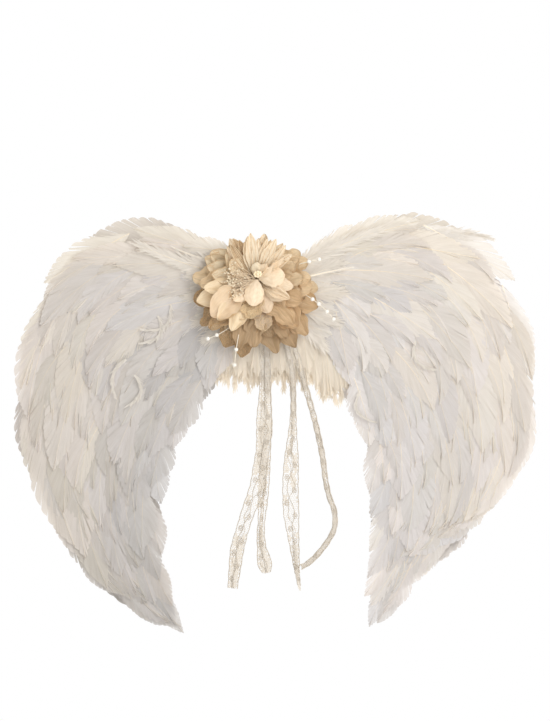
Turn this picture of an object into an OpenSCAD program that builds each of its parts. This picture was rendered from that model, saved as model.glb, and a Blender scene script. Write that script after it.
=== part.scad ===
// Feathered fairy wings with a fabric flower and lace ties, as worn on the back.
// Millimetres. The wearer's back touches the plane y = 0, the decorated side faces -Y, and +Z is up.
// "Depth" is the distance in front of that plane, so a solid at depth d lies at y = -d.

/* [Overall] */
// Span from one outer edge to the other
wing_span = 340; // [325:5:350]
// Height from the top edge to the wing tips
wing_height = 264; // [255:3:270]
// How much higher the right wing sits than the left one
right_lift = 5; // [0:1:6]

/* [Feathers] */
// Width of a front feather
feather_w = 25; // [22:1:26]
// Spacing of the feathers across a row
feather_pitch = 14; // [13:1:16]
// Share of the wing's flow line that one front feather covers
feather_reach = 0.19; // [0.17:0.01:0.2]
// Thickness of a feather's vane
vane_t = 0.18; // [0.14:0.02:0.2]

/* [Frame] */
// Wire diameter
wire_d = 1.6; // [1.4:0.1:1.6]
// Bend radius of the wire
wire_bend = 9; // [7:1:10]
// Width of the stiff board between the two hinges
centre_w = 42; // [40:1:42]
// Height of the stiff board between the two hinges
centre_h = 58; // [52:1:60]

/* [Flower] */
// Mean radius of the flower
flower_r = 38; // [34:1:39]
// How much longer the lower petals are than the mean, as a share
flower_droop = 0.24; // [0:0.02:0.26]
// Diameter of a pearl
pearl_d = 2.6; // [2.2:0.1:2.8]

/* [Ties] */
// Width of the lace where it lies flat
lace_w = 10; // [9:0.5:10.5]
// Thickness of the lace
lace_t = 0.5; // [0.4:0.05:0.5]

/* [Hidden] */
$fn = 48;
SIDES = ["left", "right"];
FRONT_ROWS = 10;
REAR_ROWS = 4;
RINGS = ["outer", "lace", "chiffon", "satin", "inner", "heart"];

// Depths of the layers, from the wearer's back outwards
pad_depth = 6.1;                          // front of the back pad
wire_depth = 5.2;                         // centre of the wire frame, and of both hinge axes
bend_swell = 0.03;                        // how much thicker the wire is where it is bent
lining_depth = wire_depth + wire_d / 2 + bend_swell + 0.02; // rear of the wing lining
lining_t = 0.8;
board_depth = lining_depth + lining_t;    // rear of the boards
board_t = 1.5;
tab_depth = wire_depth - 1.3;             // rear of the felt tabs, where the rear feathers begin
feather_depth = board_depth + board_t + 0.3; // the first front feathers
vane_step = 0.2;                          // between neighbours in a row
vane_levels = 4;
row_step = vane_levels * vane_step;       // between rows
down_depth = board_depth + board_t;
down_front = feather_depth + FRONT_ROWS * row_step; // front of the down, where the ties lie
rear_tie_depth = down_front + 0.3;
front_tie_depth = rear_tie_depth + lace_t + 0.4;
plume_depth = front_tie_depth - 0.3;
felt_depth = front_tie_depth + lace_t + 0.3;
felt_t = 1.4;
petal_depth = felt_depth + felt_t;

// Hinges: the wire's straight inner side turns in a sewn casing
hinge_x = 22;
casing_h = 32;
casing_z = -7.5;                          // middle of the casing
casing_wall = 0.6;
running_gap = 0.1;
wing_x = hinge_x + 5;                     // where the boards of a wing begin

// The scale that the driving dimensions give the outline
scale_x = wing_span / 340;
scale_z = wing_height / 264;

// A wing's outer and inner flow lines, from the shoulder to the tip: distance from the middle, height
OUTER = [
    [[27, 23], [66, 35], [107, 42], [136, 17], [146, -22], [160, -62], [151, -103], [132, -141], [110, -175],
        [64, -202]],
    [[27, 25], [64, 41], [105, 39], [137, 13], [143, -22], [157, -60], [148, -101], [129, -138], [98, -155],
        [60, -200]]];
INNER = [
    [[36, -12], [39, -38], [53, -55], [66, -73], [78, -96], [85, -120], [88, -143], [87, -165], [81, -186],
        [66, -205]],
    [[36, -12], [39, -38], [51, -58], [60, -78], [66, -99], [71, -121], [73, -143], [71, -165], [68, -184],
        [61, -203]]];

function spline(p, t) =
    let (last = len(p) - 1, s = min(max(t, 0), 1) * last, i = min(floor(s), last - 1), k = s - i,
         a = p[max(i - 1, 0)], b = p[i], c = p[i + 1], d = p[min(i + 2, last)])
    0.5 * (2 * b + (c - a) * k + (2 * a - 5 * b + 4 * c - d) * k * k + (3 * b - a - 3 * c + d) * k * k * k);

// The point at share t of the way to the tip and share f of the way from the outer to the inner flow line
function flow(side, f, t) =
    let (k = side == "left" ? 0 : 1, p = spline(OUTER[k], t) * (1 - f) + spline(INNER[k], t) * f)
    [p[0] * scale_x, p[1] * scale_z];

// Half width of a feather at share t of its length, as a share of its widest
WIDEST = 0.62;
function egg(t) =
    t < WIDEST ? 1 - pow((WIDEST - t) / WIDEST, 1.6) : pow(1 - pow((t - WIDEST) / (1 - WIDEST), 2.4), 0.6);
STATIONS = [0.12, 0.32, WIDEST, 0.8, 0.94];

function feather_outline(length, width) = concat(
    [[0, 0]],
    [for (t = STATIONS) [t * length, egg(t) * width / 2]],
    [[length, 0]],
    [for (i = [len(STATIONS) - 1 : -1 : 0]) [STATIONS[i] * length, -egg(STATIONS[i]) * width / 2]]
);

// Extrudes a flat shape, drawn as seen from the decorated side, from a depth forwards
module layer(depth, thick) {
    translate([0, -depth, 0]) rotate([90, 0, 0]) linear_extrude(thick) children();
}

// Puts a wing built on the right where it belongs
module on_side(side) {
    if (side == "left") mirror([1, 0, 0]) children();
    else translate([0, 0, right_lift]) children();
}

module rounded(w, h, r) {
    hull() for (x = [-1, 1], z = [-1, 1]) translate([x * (w / 2 - r), z * (h / 2 - r)]) circle(r);
}

// ---- Feathers ----

module feather(base, tip, width, depth) {
    along = tip - base;
    layer(depth, vane_t) translate(base) rotate(atan2(along[1], along[0]))
        polygon(feather_outline(norm(along), width));
}

// One row of feathers across the wing, at share t of the way to the tip. Every second row is staggered.
module feather_row(side, t, reach, depth, direction, staggered, pitch, width) {
    across = norm(flow(side, 0, t) - flow(side, 1, t));
    gaps = max(staggered ? 2 : 1, round(across / pitch));
    for (i = [0 : staggered ? gaps - 1 : gaps]) {
        f = (i + (staggered ? 0.5 : 0)) / gaps;
        base = flow(side, f, t);
        aim = flow(side, f + 0.1 * (f - 0.5), t + reach);
        length = max(norm(aim - base), 36);
        tip = base + (aim - base) * length / norm(aim - base);
        feather(base, tip, width, depth + direction * (i % vane_levels) * vane_step);
    }
}

module front_feathers(side, row) {
    color([0.95, 0.93, 0.89]) on_side(side)
        feather_row(side, (row - 1) * (1 - feather_reach) / (FRONT_ROWS - 1), feather_reach,
            feather_depth + (FRONT_ROWS - row) * row_step, 1, row % 2 == 0, feather_pitch,
            feather_w * min(1, 1.6 - 0.08 * row));
}

module rear_feathers(side, row) {
    reach = 0.24;
    color([0.93, 0.91, 0.87]) on_side(side)
        feather_row(side, 0.04 + (row - 1) * 0.23, reach,
            tab_depth - 0.2 - vane_t - (REAR_ROWS - row) * row_step, -1, row % 2 == 0, 16, 28);
}

// ---- Wings ----

module wing_panel(side, outer_inset, inner_inset, first, last) {
    steps = 16;
    polygon(concat(
        [for (i = [0 : steps]) flow(side, outer_inset, first + (last - first) * i / steps)],
        [for (i = [steps : -1 : 0]) flow(side, 1 - inner_inset, first + (last - first) * i / steps)]));
}

module wing_board(side) {
    color([0.8, 0.74, 0.64]) on_side(side) layer(board_depth, board_t)
        intersection() {
            wing_panel(side, 0.16, 0.14, 0, 0.82);
            translate([wing_x, -300]) square([300, 400]);
        }
}

module wing_lining(side) {
    color([0.93, 0.92, 0.9]) on_side(side) layer(lining_depth, lining_t)
        intersection() {
            wing_panel(side, 0.13, 0.11, 0, 0.84);
            translate([wing_x, -300]) square([300, 400]);
        }
}

// The corners of the wire loop. Its first side is the hinge side, straight and upright.
function wire_corners(side) = concat(
    [[hinge_x, -38], [hinge_x, 20]],
    [for (t = [0.16, 0.32, 0.48, 0.63, 0.76]) flow(side, 0.26, t)],
    [flow(side, 0.7, 0.78)],
    [for (t = [0.6, 0.4, 0.2]) flow(side, 0.76, t)]
);

// A closed loop of round wire, with every corner bent to the same radius.
// The wire swells a little where it is bent, and each straight side runs a little way into its bends.
bend_lap = 0.3;

module bent_loop(corners, bend, r) {
    n = len(corners);
    unit = function (a, b) (b - a) / norm(b - a);
    turn = function (i)
        let (u = unit(corners[(i + n - 1) % n], corners[i]), v = unit(corners[i], corners[(i + 1) % n]))
        atan2(u[0] * v[1] - u[1] * v[0], u * v);
    for (i = [0 : n - 1]) {
        a = corners[i];
        b = corners[(i + 1) % n];
        u = unit(a, b);
        heading = atan2(u[1], u[0]);
        start = a + u * bend * tan(abs(turn(i)) / 2);
        end = b - u * bend * tan(abs(turn((i + 1) % n)) / 2);
        next = turn((i + 1) % n);
        translate([start[0], start[1], 0]) rotate([0, 0, heading]) translate([-bend_lap, 0, 0])
            rotate([0, 90, 0]) cylinder(h = norm(end - start) + 2 * bend_lap, r = r);
        translate([end[0], end[1], 0]) rotate([0, 0, heading]) translate([0, sign(next) * bend, 0])
            rotate([0, 0, next > 0 ? -90 : 90 + next])
                rotate_extrude(angle = abs(next)) translate([bend, 0]) circle(r + bend_swell);
    }
}

module wire_frame(side) {
    color([0.86, 0.85, 0.82]) on_side(side) translate([0, -wire_depth, 0]) rotate([90, 0, 0])
        bent_loop(wire_corners(side), wire_bend, wire_d / 2);
}

// Felt saddles that hold the wire to the lining, on the sides that are long enough
TAB_SIDES = [2, 4, 5, 8, 10];

module wire_tabs(side) {
    tab = [16, 10];
    corners = wire_corners(side);
    color([0.95, 0.94, 0.92]) on_side(side) for (i = TAB_SIDES) {
        a = corners[i];
        b = corners[(i + 1) % len(corners)];
        middle = (a + b) / 2;
        heading = atan2(b[1] - a[1], b[0] - a[0]);
        translate([middle[0], -wire_depth, middle[1]]) rotate([90, 0, 0]) rotate([0, 0, heading])
            difference() {
                translate([-tab[1] / 2, -tab[0] / 2, tab_depth - wire_depth])
                    cube([tab[1], tab[0], lining_depth - tab_depth]);
                rotate([0, 90, 0]) cylinder(h = tab[1] + 2, r = wire_d / 2 + 0.05, center = true);
                translate([-tab[1], -wire_d / 2 - 0.05, 0]) cube([2 * tab[1], wire_d + 0.1, wire_d]);
            }
    }
}

// ---- Centre ----

module back_pad() {
    color([0.96, 0.95, 0.93]) layer(0, pad_depth) translate([0, -5]) rounded(35, centre_h, 7);
}

module centre_board() {
    color([0.8, 0.74, 0.64]) layer(board_depth, board_t) translate([0, -5]) rounded(centre_w, centre_h, 5);
}

// A sewn tube round the wire's upright side, with the flap that is glued behind the centre board
module hinge_casing(side) {
    bore_r = wire_d / 2 + running_gap;
    flap = 13;
    color([0.94, 0.93, 0.9]) on_side(side) translate([hinge_x, -wire_depth, casing_z - casing_h / 2])
        difference() {
            union() {
                cylinder(h = casing_h, r = bore_r + casing_wall);
                translate([-flap, -(board_depth - wire_depth), 0]) cube([flap, 0.6, casing_h]);
            }
            translate([0, 0, -1]) cylinder(h = casing_h + 2, r = bore_r);
        }
}

// Marabou down behind and below the flower
module centre_down() {
    half = 22.5;
    lobes = 7;
    step = 2 * half / lobes;
    color([0.96, 0.95, 0.92]) layer(down_depth, down_front - down_depth) polygon(concat(
        [[-half, 22], [half, 22]],
        [for (i = [0 : lobes - 1]) each [
            [half - i * step, -46 - 3 * (i % 2)],
            [half - (i + 0.5) * step, -58 + 3 * (i % 3)]]],
        [[-half, -46]]));
}

// Loose feathers whose quills are caught under the flower: base, tip, width
PLUMES = [[[-6, 10], [60, 42], 24], [[-4, 6], [46, 20], 7], [[-26, 14], [-86, 34], 20]];

module accent_plumes() {
    color([0.97, 0.96, 0.92]) for (i = [0 : len(PLUMES) - 1])
        feather(PLUMES[i][0], PLUMES[i][1], PLUMES[i][2], plume_depth + i * vane_step);
}

// ---- Flower ----

flower_at = [-14, 11];
core_r = 3;
core_h = 8;
petal_gap = 0.45;                         // from the core to where the petals begin

// Each ring: number of petals, length as a share of the flower's radius, tilt out of the flat, rise of its base, width
RING = [
    [14, 1.02, 12, 0.6, 15], [12, 0.94, 21, 1.7, 15], [11, 0.86, 31, 2.8, 14],
    [9, 0.72, 42, 3.9, 14], [7, 0.56, 54, 5.0, 12], [5, 0.42, 66, 6.1, 10]];

module in_flower() {
    translate([flower_at[0], -petal_depth, flower_at[1]]) rotate([90, 0, 0]) children();
}

module flower_base_felt() {
    color([0.9, 0.84, 0.74]) layer(felt_depth, felt_t) translate(flower_at) circle(15);
}

module flower_core() {
    color([0.88, 0.8, 0.68]) in_flower() cylinder(h = core_h, r = core_r);
}

module flower_bud() {
    color([0.96, 0.88, 0.76]) in_flower() translate([0, 0, core_h]) intersection() {
        sphere(r = 3);
        translate([-5, -5, 0]) cube(10);
    }
}

// Half width of a petal at share t of its length, kept inside its own sector of the ring
function petal_half(t, length, width, tilt, count) =
    min(width / 2 * pow(sin(180 * pow(t, 1.35)), 0.6),
        (core_r + t * length * cos(tilt)) * tan(180 / count) * 0.94 - 0.15);
PETAL_STATIONS = [0, 0.18, 0.36, 0.52, 0.68, 0.82, 0.93];

module petal(length, width, tilt, count) {
    linear_extrude(0.4) polygon(concat(
        [for (t = PETAL_STATIONS) [t * length, -max(petal_half(t, length, width, tilt, count), 0.4)]],
        [[length, 0]],
        [for (i = [len(PETAL_STATIONS) - 1 : -1 : 0])
            let (t = PETAL_STATIONS[i]) [t * length, max(petal_half(t, length, width, tilt, count), 0.4)]]));
}

module petal_ring(index) {
    count = RING[index][0];
    tilt = RING[index][2];
    tint = index / len(RINGS);
    color([0.85 + 0.12 * tint, 0.75 + 0.14 * tint, 0.6 + 0.2 * tint]) in_flower() for (i = [0 : count - 1]) {
        turn = (i + 0.5 * (index % 2)) * 360 / count;
        length = flower_r * RING[index][1] * (1 - flower_droop * sin(turn)) - core_r;
        rotate([0, 0, turn]) translate([core_r + petal_gap, 0, RING[index][3]]) rotate([0, -tilt, 0])
            petal(length / cos(tilt) * (1 - 0.35 * (1 - cos(tilt))), RING[index][4], tilt, count);
    }
}

// Pearl sprays between the outer and the lace petals: heading out of the flower, bend radius
// (positive bends to the left), length, where the pearls sit along the stem
stem_r = 0.25;
stem_tilt = 16;
stem_rise = 0.45;
SPRAYS = [[1, -64, 58.5, [39, 44, 51, 57.5]], [28, -150, 44.5, [37, 43.7]],
    [-114, 168, 56.5, [45.7, 55.7]], [-97, -45, 51, [44, 50]]];

// Moves a shape from the flower's middle to a place s millimetres along a spray
module along_spray(spray, s) {
    bend = spray[1];
    translate([0, 0, stem_rise]) rotate([0, 0, spray[0]]) rotate([0, -stem_tilt, 0])
        translate([0, bend, 0]) rotate([0, 0, s / bend * 180 / PI]) translate([0, -bend, 0]) children();
}

module spray_stem(spray) {
    bend = spray[1];
    from = core_r + 0.15;
    sweep = abs((spray[2] - from) / bend) * 180 / PI;
    along_spray(spray, from) translate([0, bend, 0]) rotate([0, 0, bend > 0 ? -90 : 90 - sweep])
        rotate_extrude(angle = sweep) translate([abs(bend), 0]) circle(stem_r, $fn = 16);
}

module pearl_stems() {
    color([0.93, 0.9, 0.82]) in_flower() for (spray = SPRAYS) spray_stem(spray);
}

module pearls() {
    color([0.98, 0.96, 0.9]) in_flower() for (spray = SPRAYS)
        for (s = spray[3]) along_spray(spray, s) sphere(d = pearl_d);
}

// ---- Lace ties ----

// Each tie's middle line and its width there, as a share of the lace, because it twists: x, z, width
tie_fold_z = -40;                         // where the ties bend at the flower's lower edge
LEFT_FRONT = [[-16, 2, 0.7], [-10, -18, 0.7], [-8, -38, 0.7], [-8, -58, 0.75], [-8.5, -72, 0.95], [-8.5, -82, 1],
    [-9.6, -94, 0.85], [-11.5, -107, 0.9], [-13, -118, 1], [-18.5, -132, 0.85], [-22, -143, 0.8],
    [-25.5, -156, 0.85], [-27, -168, 0.75], [-28.5, -181, 0.6]];
LEFT_REAR = [[-17, 2, 0.6], [-11, -18, 0.6], [-8, -38, 0.6], [-7.5, -58, 0.6], [-7.5, -75, 0.7], [-8, -95, 0.7],
    [-8.5, -112, 0.65], [-9.5, -127, 0.6], [-10.3, -138, 0.45], [-10.8, -147, 0.5], [-10, -156, 0.6],
    [-8.5, -164, 0.9], [-7, -171, 0.55]];
RIGHT_FRONT = [[-7, 2, 0.4], [2, -18, 0.4], [7, -36, 0.4], [9, -48, 0.4], [9.6, -62, 0.35], [9.5, -74, 0.4],
    [9, -86, 0.6], [8.4, -100, 0.9], [7.8, -116, 1], [8.2, -132, 1], [9.4, -146, 0.75], [10.9, -160, 0.5],
    [12.2, -172, 0.3], [13.8, -183, 0.1]];
RIGHT_REAR = [[-3, 2, 0.4], [7, -20, 0.4], [12, -36, 0.4], [15.8, -50, 0.38], [21, -68, 0.35], [25, -84, 0.35],
    [28, -99, 0.35], [29.6, -112, 0.33], [32, -123, 0.3], [35.2, -132, 0.3], [35.4, -142, 0.3],
    [31.8, -150, 0.3], [25, -159, 0.3], [18.5, -165, 0.3], [13.5, -167.5, 0.3]];

// The flat outline of a tie between two shares of its middle line
function tie_edge(line, t, side) =
    let (eps = 0.004, here = spline(line, t),
         ahead = spline(line, min(t + eps, 1)), behind = spline(line, max(t - eps, 0)),
         d = [ahead[0] - behind[0], ahead[1] - behind[1]], u = d / norm(d))
    [here[0] - side * u[1] * here[2] * lace_w / 2, here[1] + side * u[0] * here[2] * lace_w / 2];

module tie(line, depth) {
    steps = 36;
    layer(depth, lace_t) polygon(concat(
        [for (i = [0 : steps]) tie_edge(line, i / steps, 1)],
        [for (i = [steps : -1 : 0]) tie_edge(line, i / steps, -1)]));
}

module above_fold() {
    intersection() {
        children();
        translate([-100, -50, tie_fold_z + 0.6]) cube([200, 50, 60]);
    }
}

module below_fold() {
    intersection() {
        children();
        translate([-100, -50, tie_fold_z - 200.6]) cube([200, 50, 200]);
    }
}

TIES = [["left", "front", LEFT_FRONT], ["left", "rear", LEFT_REAR],
    ["right", "front", RIGHT_FRONT], ["right", "rear", RIGHT_REAR]];

function tie_depth(which) = which == "front" ? front_tie_depth : rear_tie_depth;

module tie_tops(side) {
    color([0.92, 0.89, 0.84]) for (t = TIES) if (t[0] == side) above_fold() tie(t[2], tie_depth(t[1]));
}

module hanging_tie(side, which) {
    color([0.94, 0.92, 0.87]) for (t = TIES) if (t[0] == side && t[1] == which)
        below_fold() tie(t[2], tie_depth(which));
}

// ---- The parts ----

back_pad();
centre_board();
centre_down();
accent_plumes();
flower_base_felt();
flower_core();
flower_bud();
for (i = [0 : len(RINGS) - 1])
    petal_ring(i);
pearl_stems();
pearls();
for (side = SIDES) {
    hinge_casing(side);
    tie_tops(side);
    hanging_tie(side, "front");
    hanging_tie(side, "rear");
    wing_board(side);
    wing_lining(side);
    wire_frame(side);
    wire_tabs(side);
    for (row = [1 : FRONT_ROWS])
        front_feathers(side, row);
    for (row = [1 : REAR_ROWS])
        rear_feathers(side, row);
}
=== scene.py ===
"""Feathered fairy wings with a fabric flower and lace ties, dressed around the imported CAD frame.

Pieces are built from points in millimetres, given as (right, up, out): out is the distance in front of the
wearer's back, towards the viewer. A Piece turns them into metres in the row frame.
"""

import math

import bpy
import numpy as np
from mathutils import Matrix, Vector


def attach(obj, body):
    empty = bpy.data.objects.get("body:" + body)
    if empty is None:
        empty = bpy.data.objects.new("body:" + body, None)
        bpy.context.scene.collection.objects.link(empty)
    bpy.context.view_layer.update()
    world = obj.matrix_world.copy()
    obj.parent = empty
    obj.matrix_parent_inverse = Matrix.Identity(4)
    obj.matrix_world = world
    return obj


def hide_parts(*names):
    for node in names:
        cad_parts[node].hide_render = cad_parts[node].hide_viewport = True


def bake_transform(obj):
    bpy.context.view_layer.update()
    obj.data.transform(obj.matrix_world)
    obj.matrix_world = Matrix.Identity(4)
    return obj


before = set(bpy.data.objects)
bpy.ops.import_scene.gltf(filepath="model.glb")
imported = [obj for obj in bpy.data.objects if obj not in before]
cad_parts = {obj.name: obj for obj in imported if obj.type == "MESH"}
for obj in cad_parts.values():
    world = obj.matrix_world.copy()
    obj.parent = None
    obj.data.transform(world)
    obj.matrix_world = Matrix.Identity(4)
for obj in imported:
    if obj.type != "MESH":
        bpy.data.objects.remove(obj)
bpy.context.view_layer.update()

MM = 0.001
SIDES = {"left": -1, "right": 1}
FRONT_ROWS = 10
REAR_ROWS = 4
RIGHT_LIFT = 5.0
FLOWER_AT = np.array([-14.0, 11.0])
PETAL_DEPTH = 20.05             # where the petals begin, in front of the wearer's back

# A wing's outer and inner flow lines, as in the CAD: distance from the middle, height
OUTER = {
    "left": [(27, 23), (66, 35), (107, 42), (136, 17), (146, -22), (160, -62), (151, -103), (132, -141), (110, -175),
             (64, -202)],
    "right": [(27, 25), (64, 41), (105, 39), (137, 13), (143, -22), (157, -60), (148, -101), (129, -138), (98, -155),
              (60, -200)]}
INNER = {
    "left": [(36, -12), (39, -38), (53, -55), (66, -73), (78, -96), (85, -120), (88, -143), (87, -165), (81, -186),
             (66, -205)],
    "right": [(36, -12), (39, -38), (51, -58), (60, -78), (66, -99), (71, -121), (73, -143), (71, -165), (68, -184),
              (61, -203)]}

CREAM = np.array([0.93, 0.86, 0.74])
PINK = np.array([0.91, 0.83, 0.79])
COOL = np.array([0.78, 0.77, 0.79])
WHITE = np.array([0.96, 0.92, 0.86])
DOWN = np.array([0.98, 0.91, 0.80])
PEACH = np.array([0.98, 0.81, 0.60])
CHAMPAGNE = np.array([0.94, 0.73, 0.46])
GOLDEN = np.array([0.80, 0.59, 0.35])
IVORY = np.array([0.98, 0.86, 0.66])
TAN = np.array([0.60, 0.40, 0.20])
ROSE = np.array([0.60, 0.43, 0.26])
BLUSH = np.array([0.86, 0.68, 0.49])
LACE_TINT = np.array([0.91, 0.86, 0.79])
FELT_TINT = np.array([0.90, 0.87, 0.81])
THREAD_TINT = np.array([0.80, 0.74, 0.64])


# ---- Shader nodes ----

def node(tree, kind, **values):
    """A new node, with its inputs set by name: to a constant, or linked to another node's output."""
    made = tree.nodes.new(kind)
    for name, value in values.items():
        socket = made.inputs[name.replace("_", " ")]
        if isinstance(value, bpy.types.NodeSocket):
            tree.links.new(value, socket)
        else:
            socket.default_value = value
    return made


def mix_shaders(tree, share, first, second):
    mix = node(tree, "ShaderNodeMixShader", Fac=share)
    for k, shader in ((1, first), (2, second)):
        tree.links.new(shader.outputs[0], mix.inputs[k])
    return mix.outputs[0]


# ---- Camera, light and floor ----

VIEW_CENTRE = (-1.9, -38.0)     # what the camera looks at: right, up
VIEW_HEIGHT = 454.0             # how much it sees from bottom to top
CAMERA_AWAY = 2500.0
SENSOR = 36.0
SKY_STRENGTH = 0.62
FLOOR_HEIGHT, FLOOR_HALF = -312.0, 420


def world_points(points):
    """(right, up, out) in millimetres as row-frame metres."""
    p = np.asarray(points, float).reshape(-1, 3)
    return np.stack([p[:, 0], -p[:, 2], p[:, 1]], 1) * MM


def place(name, data, position, look_at):
    """Puts a camera or light at a (right, up, out) position, looking at another."""
    thing = bpy.data.objects.new(name, data)
    bpy.context.scene.collection.objects.link(thing)
    here, there = world_points([position, look_at])
    thing.location = here
    thing.rotation_euler = Vector((there - here).tolist()).to_track_quat("-Z", "Y").to_euler()
    return thing


def make_camera():
    data = bpy.data.cameras.new("camera")
    data.sensor_width = SENSOR
    data.lens = SENSOR * CAMERA_AWAY / VIEW_HEIGHT
    data.clip_end = 20
    bpy.context.scene.camera = place("camera", data, (*VIEW_CENTRE, CAMERA_AWAY), (*VIEW_CENTRE, 0))


def area_light(name, size, watts, position):
    data = bpy.data.lights.new(name, "AREA")
    data.shape = "DISK"
    data.size = size
    data.energy = watts
    place(name, data, position, (0, -60, 0))


def make_studio():
    """White behind the object, a slightly warm sky that lights it, and three soft lamps."""
    scene = bpy.context.scene
    scene.view_settings.view_transform = "Standard"
    scene.world = bpy.data.worlds.new("studio")
    scene.world.use_nodes = True
    tree = scene.world.node_tree
    tree.nodes.clear()
    seen = node(tree, "ShaderNodeBackground", Color=(1, 1, 1, 1))
    sky = node(tree, "ShaderNodeBackground", Color=(1, 0.985, 0.965, 1), Strength=SKY_STRENGTH)
    by_camera = node(tree, "ShaderNodeLightPath").outputs["Is Camera Ray"]
    node(tree, "ShaderNodeOutputWorld", Surface=mix_shaders(tree, by_camera, sky, seen))
    area_light("key", 0.7, 4.6, (460, 400, 760))
    area_light("fill", 1.2, 5.5, (100, -500, 1150))
    area_light("back", 1.2, 8.0, (300, 600, -1300))


# ---- Geometry ----

class Piece:
    """Gathers one piece: points, faces, material slots, and two point attributes. "vane" is the share along, the
    share across and a random number; "tint" is a colour."""

    def __init__(self):
        self.points, self.faces, self.vane, self.tint, self.slots = [], [], [], [], []
        self.count = 0

    def add(self, points, faces, vane, tint, slot=0):
        self.points.append(np.asarray(points, float).reshape(-1, 3))
        number = len(self.points[-1])
        self.faces.extend([[i + self.count for i in f] for f in faces])
        self.slots.extend([slot] * len(faces))
        self.vane.append(np.broadcast_to(np.asarray(vane, float), (number, 3)))
        self.tint.append(np.broadcast_to(np.asarray(tint, float), (number, 3)))
        self.count += number

    def build(self, name, materials, body, replaces=(), slot=None):
        mesh = bpy.data.meshes.new(name)
        mesh.from_pydata(world_points(np.concatenate(self.points)).tolist(), [], self.faces)
        for m in materials:
            mesh.materials.append(m)
        mesh.polygons.foreach_set("material_index", self.slots)
        mesh.polygons.foreach_set("use_smooth", [True] * len(self.faces))
        colours = np.concatenate([np.concatenate(self.tint), np.ones((self.count, 1))], 1)
        for label, kind, field, values in (("vane", "FLOAT_VECTOR", "vector", np.concatenate(self.vane)),
                                           ("tint", "FLOAT_COLOR", "color", colours)):
            mesh.attributes.new(label, kind, "POINT").data.foreach_set(field, values.astype(np.float32).ravel())
        mesh.validate()
        thing = bpy.data.objects.new(name, mesh)
        bpy.context.scene.collection.objects.link(thing)
        if body:
            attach(thing, body)
        if replaces:
            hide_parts(*replaces)
        return thing


def quads(index):
    """The faces over a rows x columns array of point numbers."""
    return np.stack([index[:-1, :-1], index[1:, :-1], index[1:, 1:], index[:-1, 1:]], -1).reshape(-1, 4).tolist()


def numbered(*shape, closed=False):
    """Point numbers of a grid, with the first column again at the end of a closed one."""
    index = np.arange(math.prod(shape)).reshape(shape)
    return np.concatenate([index, index[:, :1]], 1) if closed else index


def at_depth(flat, depth):
    """Flat points, each given a depth."""
    return np.concatenate([flat, np.broadcast_to(depth, flat.shape[:-1])[..., None]], -1)


def vane_of(along, across=0.0, number=0.0):
    """The vane attribute of a grid of points."""
    return np.stack(np.broadcast_arrays(along, across, number), -1).reshape(-1, 3)


def pointing(degrees):
    return np.array([math.cos(math.radians(degrees)), math.sin(math.radians(degrees))])


def smooth(x):
    x = np.clip(x, 0, 1)
    return x * x * (3 - 2 * x)


def spline(points, t):
    """A smooth curve through the points, at shares t of the way along."""
    p = np.asarray(points, float)
    at = np.clip(np.asarray(t, float), 0, 1) * (len(p) - 1)
    i = np.minimum(at.astype(int), len(p) - 2)
    k = (at - i)[..., None]
    a, b, c, d = p[np.maximum(i - 1, 0)], p[i], p[i + 1], p[np.minimum(i + 2, len(p) - 1)]
    return 0.5 * (2 * b + (c - a) * k + (2 * a - 5 * b + 4 * c - d) * k ** 2 + (3 * b - a - 3 * c + d) * k ** 3)


def flow(side, f, t):
    """The point at share t of the way to a wing's tip and share f of the way from its outer to its inner edge."""
    p = spline(OUTER[side], t) * (1 - f) + spline(INNER[side], t) * f
    return p * (SIDES[side], 1) + (0, RIGHT_LIFT if side == "right" else 0)


def cad_solids(name):
    """The corner points of each separate solid of a CAD node, in (right, up, out) millimetres."""
    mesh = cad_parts[name].data
    co = np.array([v.co for v in mesh.vertices], float)
    _, joined = np.unique(np.round(co / 1e-5).astype(np.int64), axis=0, return_inverse=True)
    joined = joined.ravel()
    faces = np.array([joined[list(p.vertices)[:3]] for p in mesh.polygons])
    label, before = np.arange(joined.max() + 1), None
    while before is None or (label != before).any():
        before = label.copy()
        for k in range(3):
            np.minimum.at(label, faces[:, k], before[faces].min(1))
        label = label[label]
    groups = label[joined]
    return [np.stack([co[groups == g, 0], co[groups == g, 2], -co[groups == g, 1]], 1) / MM
            for g in np.unique(groups)]


def cad_feathers(name):
    """Base, tip, width and depth of each flat feather solid of a CAD node."""
    found = []
    for points in cad_solids(name):
        flat = points[:, :2]
        gaps = np.linalg.norm(flat[:, None] - flat[None], axis=2)
        base, tip = flat[list(np.unravel_index(gaps.argmax(), gaps.shape))]
        middle = flat.mean(0)
        if np.linalg.norm(base - middle) < np.linalg.norm(tip - middle):
            base, tip = tip, base
        along = (tip - base) / np.linalg.norm(tip - base)
        across = flat @ np.array([-along[1], along[0]])
        found.append((base, tip, across.max() - across.min(), points[:, 2].mean()))
    return sorted(found, key=lambda f: (round(f[3], 2), f[0][0], f[0][1]))


# ---- Feathers ----

VANE_COLUMNS = np.array([0, 0.3, 0.6, 0.85, 1.0])
SHARED_COLUMNS = 2              # the barbs part only beyond these
WIDEST = 0.55                   # where a feather is widest, as a share of its length
BARB_STATIONS = 46
BARB_SWEEP = 2.3                # how strongly the barbs lie along the feather
QUILL_WARMTH = (1.08, 1.03, 0.92)
PLUME_STEPS = 6                 # points along one barb of a plume


def barb_clumps(rng):
    """Where the vane parts: first and last station of each clump of barbs."""
    edges = [0]
    while edges[-1] < BARB_STATIONS - 1:
        edges.append(min(edges[-1] + int(rng.integers(2, 5)), BARB_STATIONS - 1))
    return list(zip(edges[:-1], edges[1:]))


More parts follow.
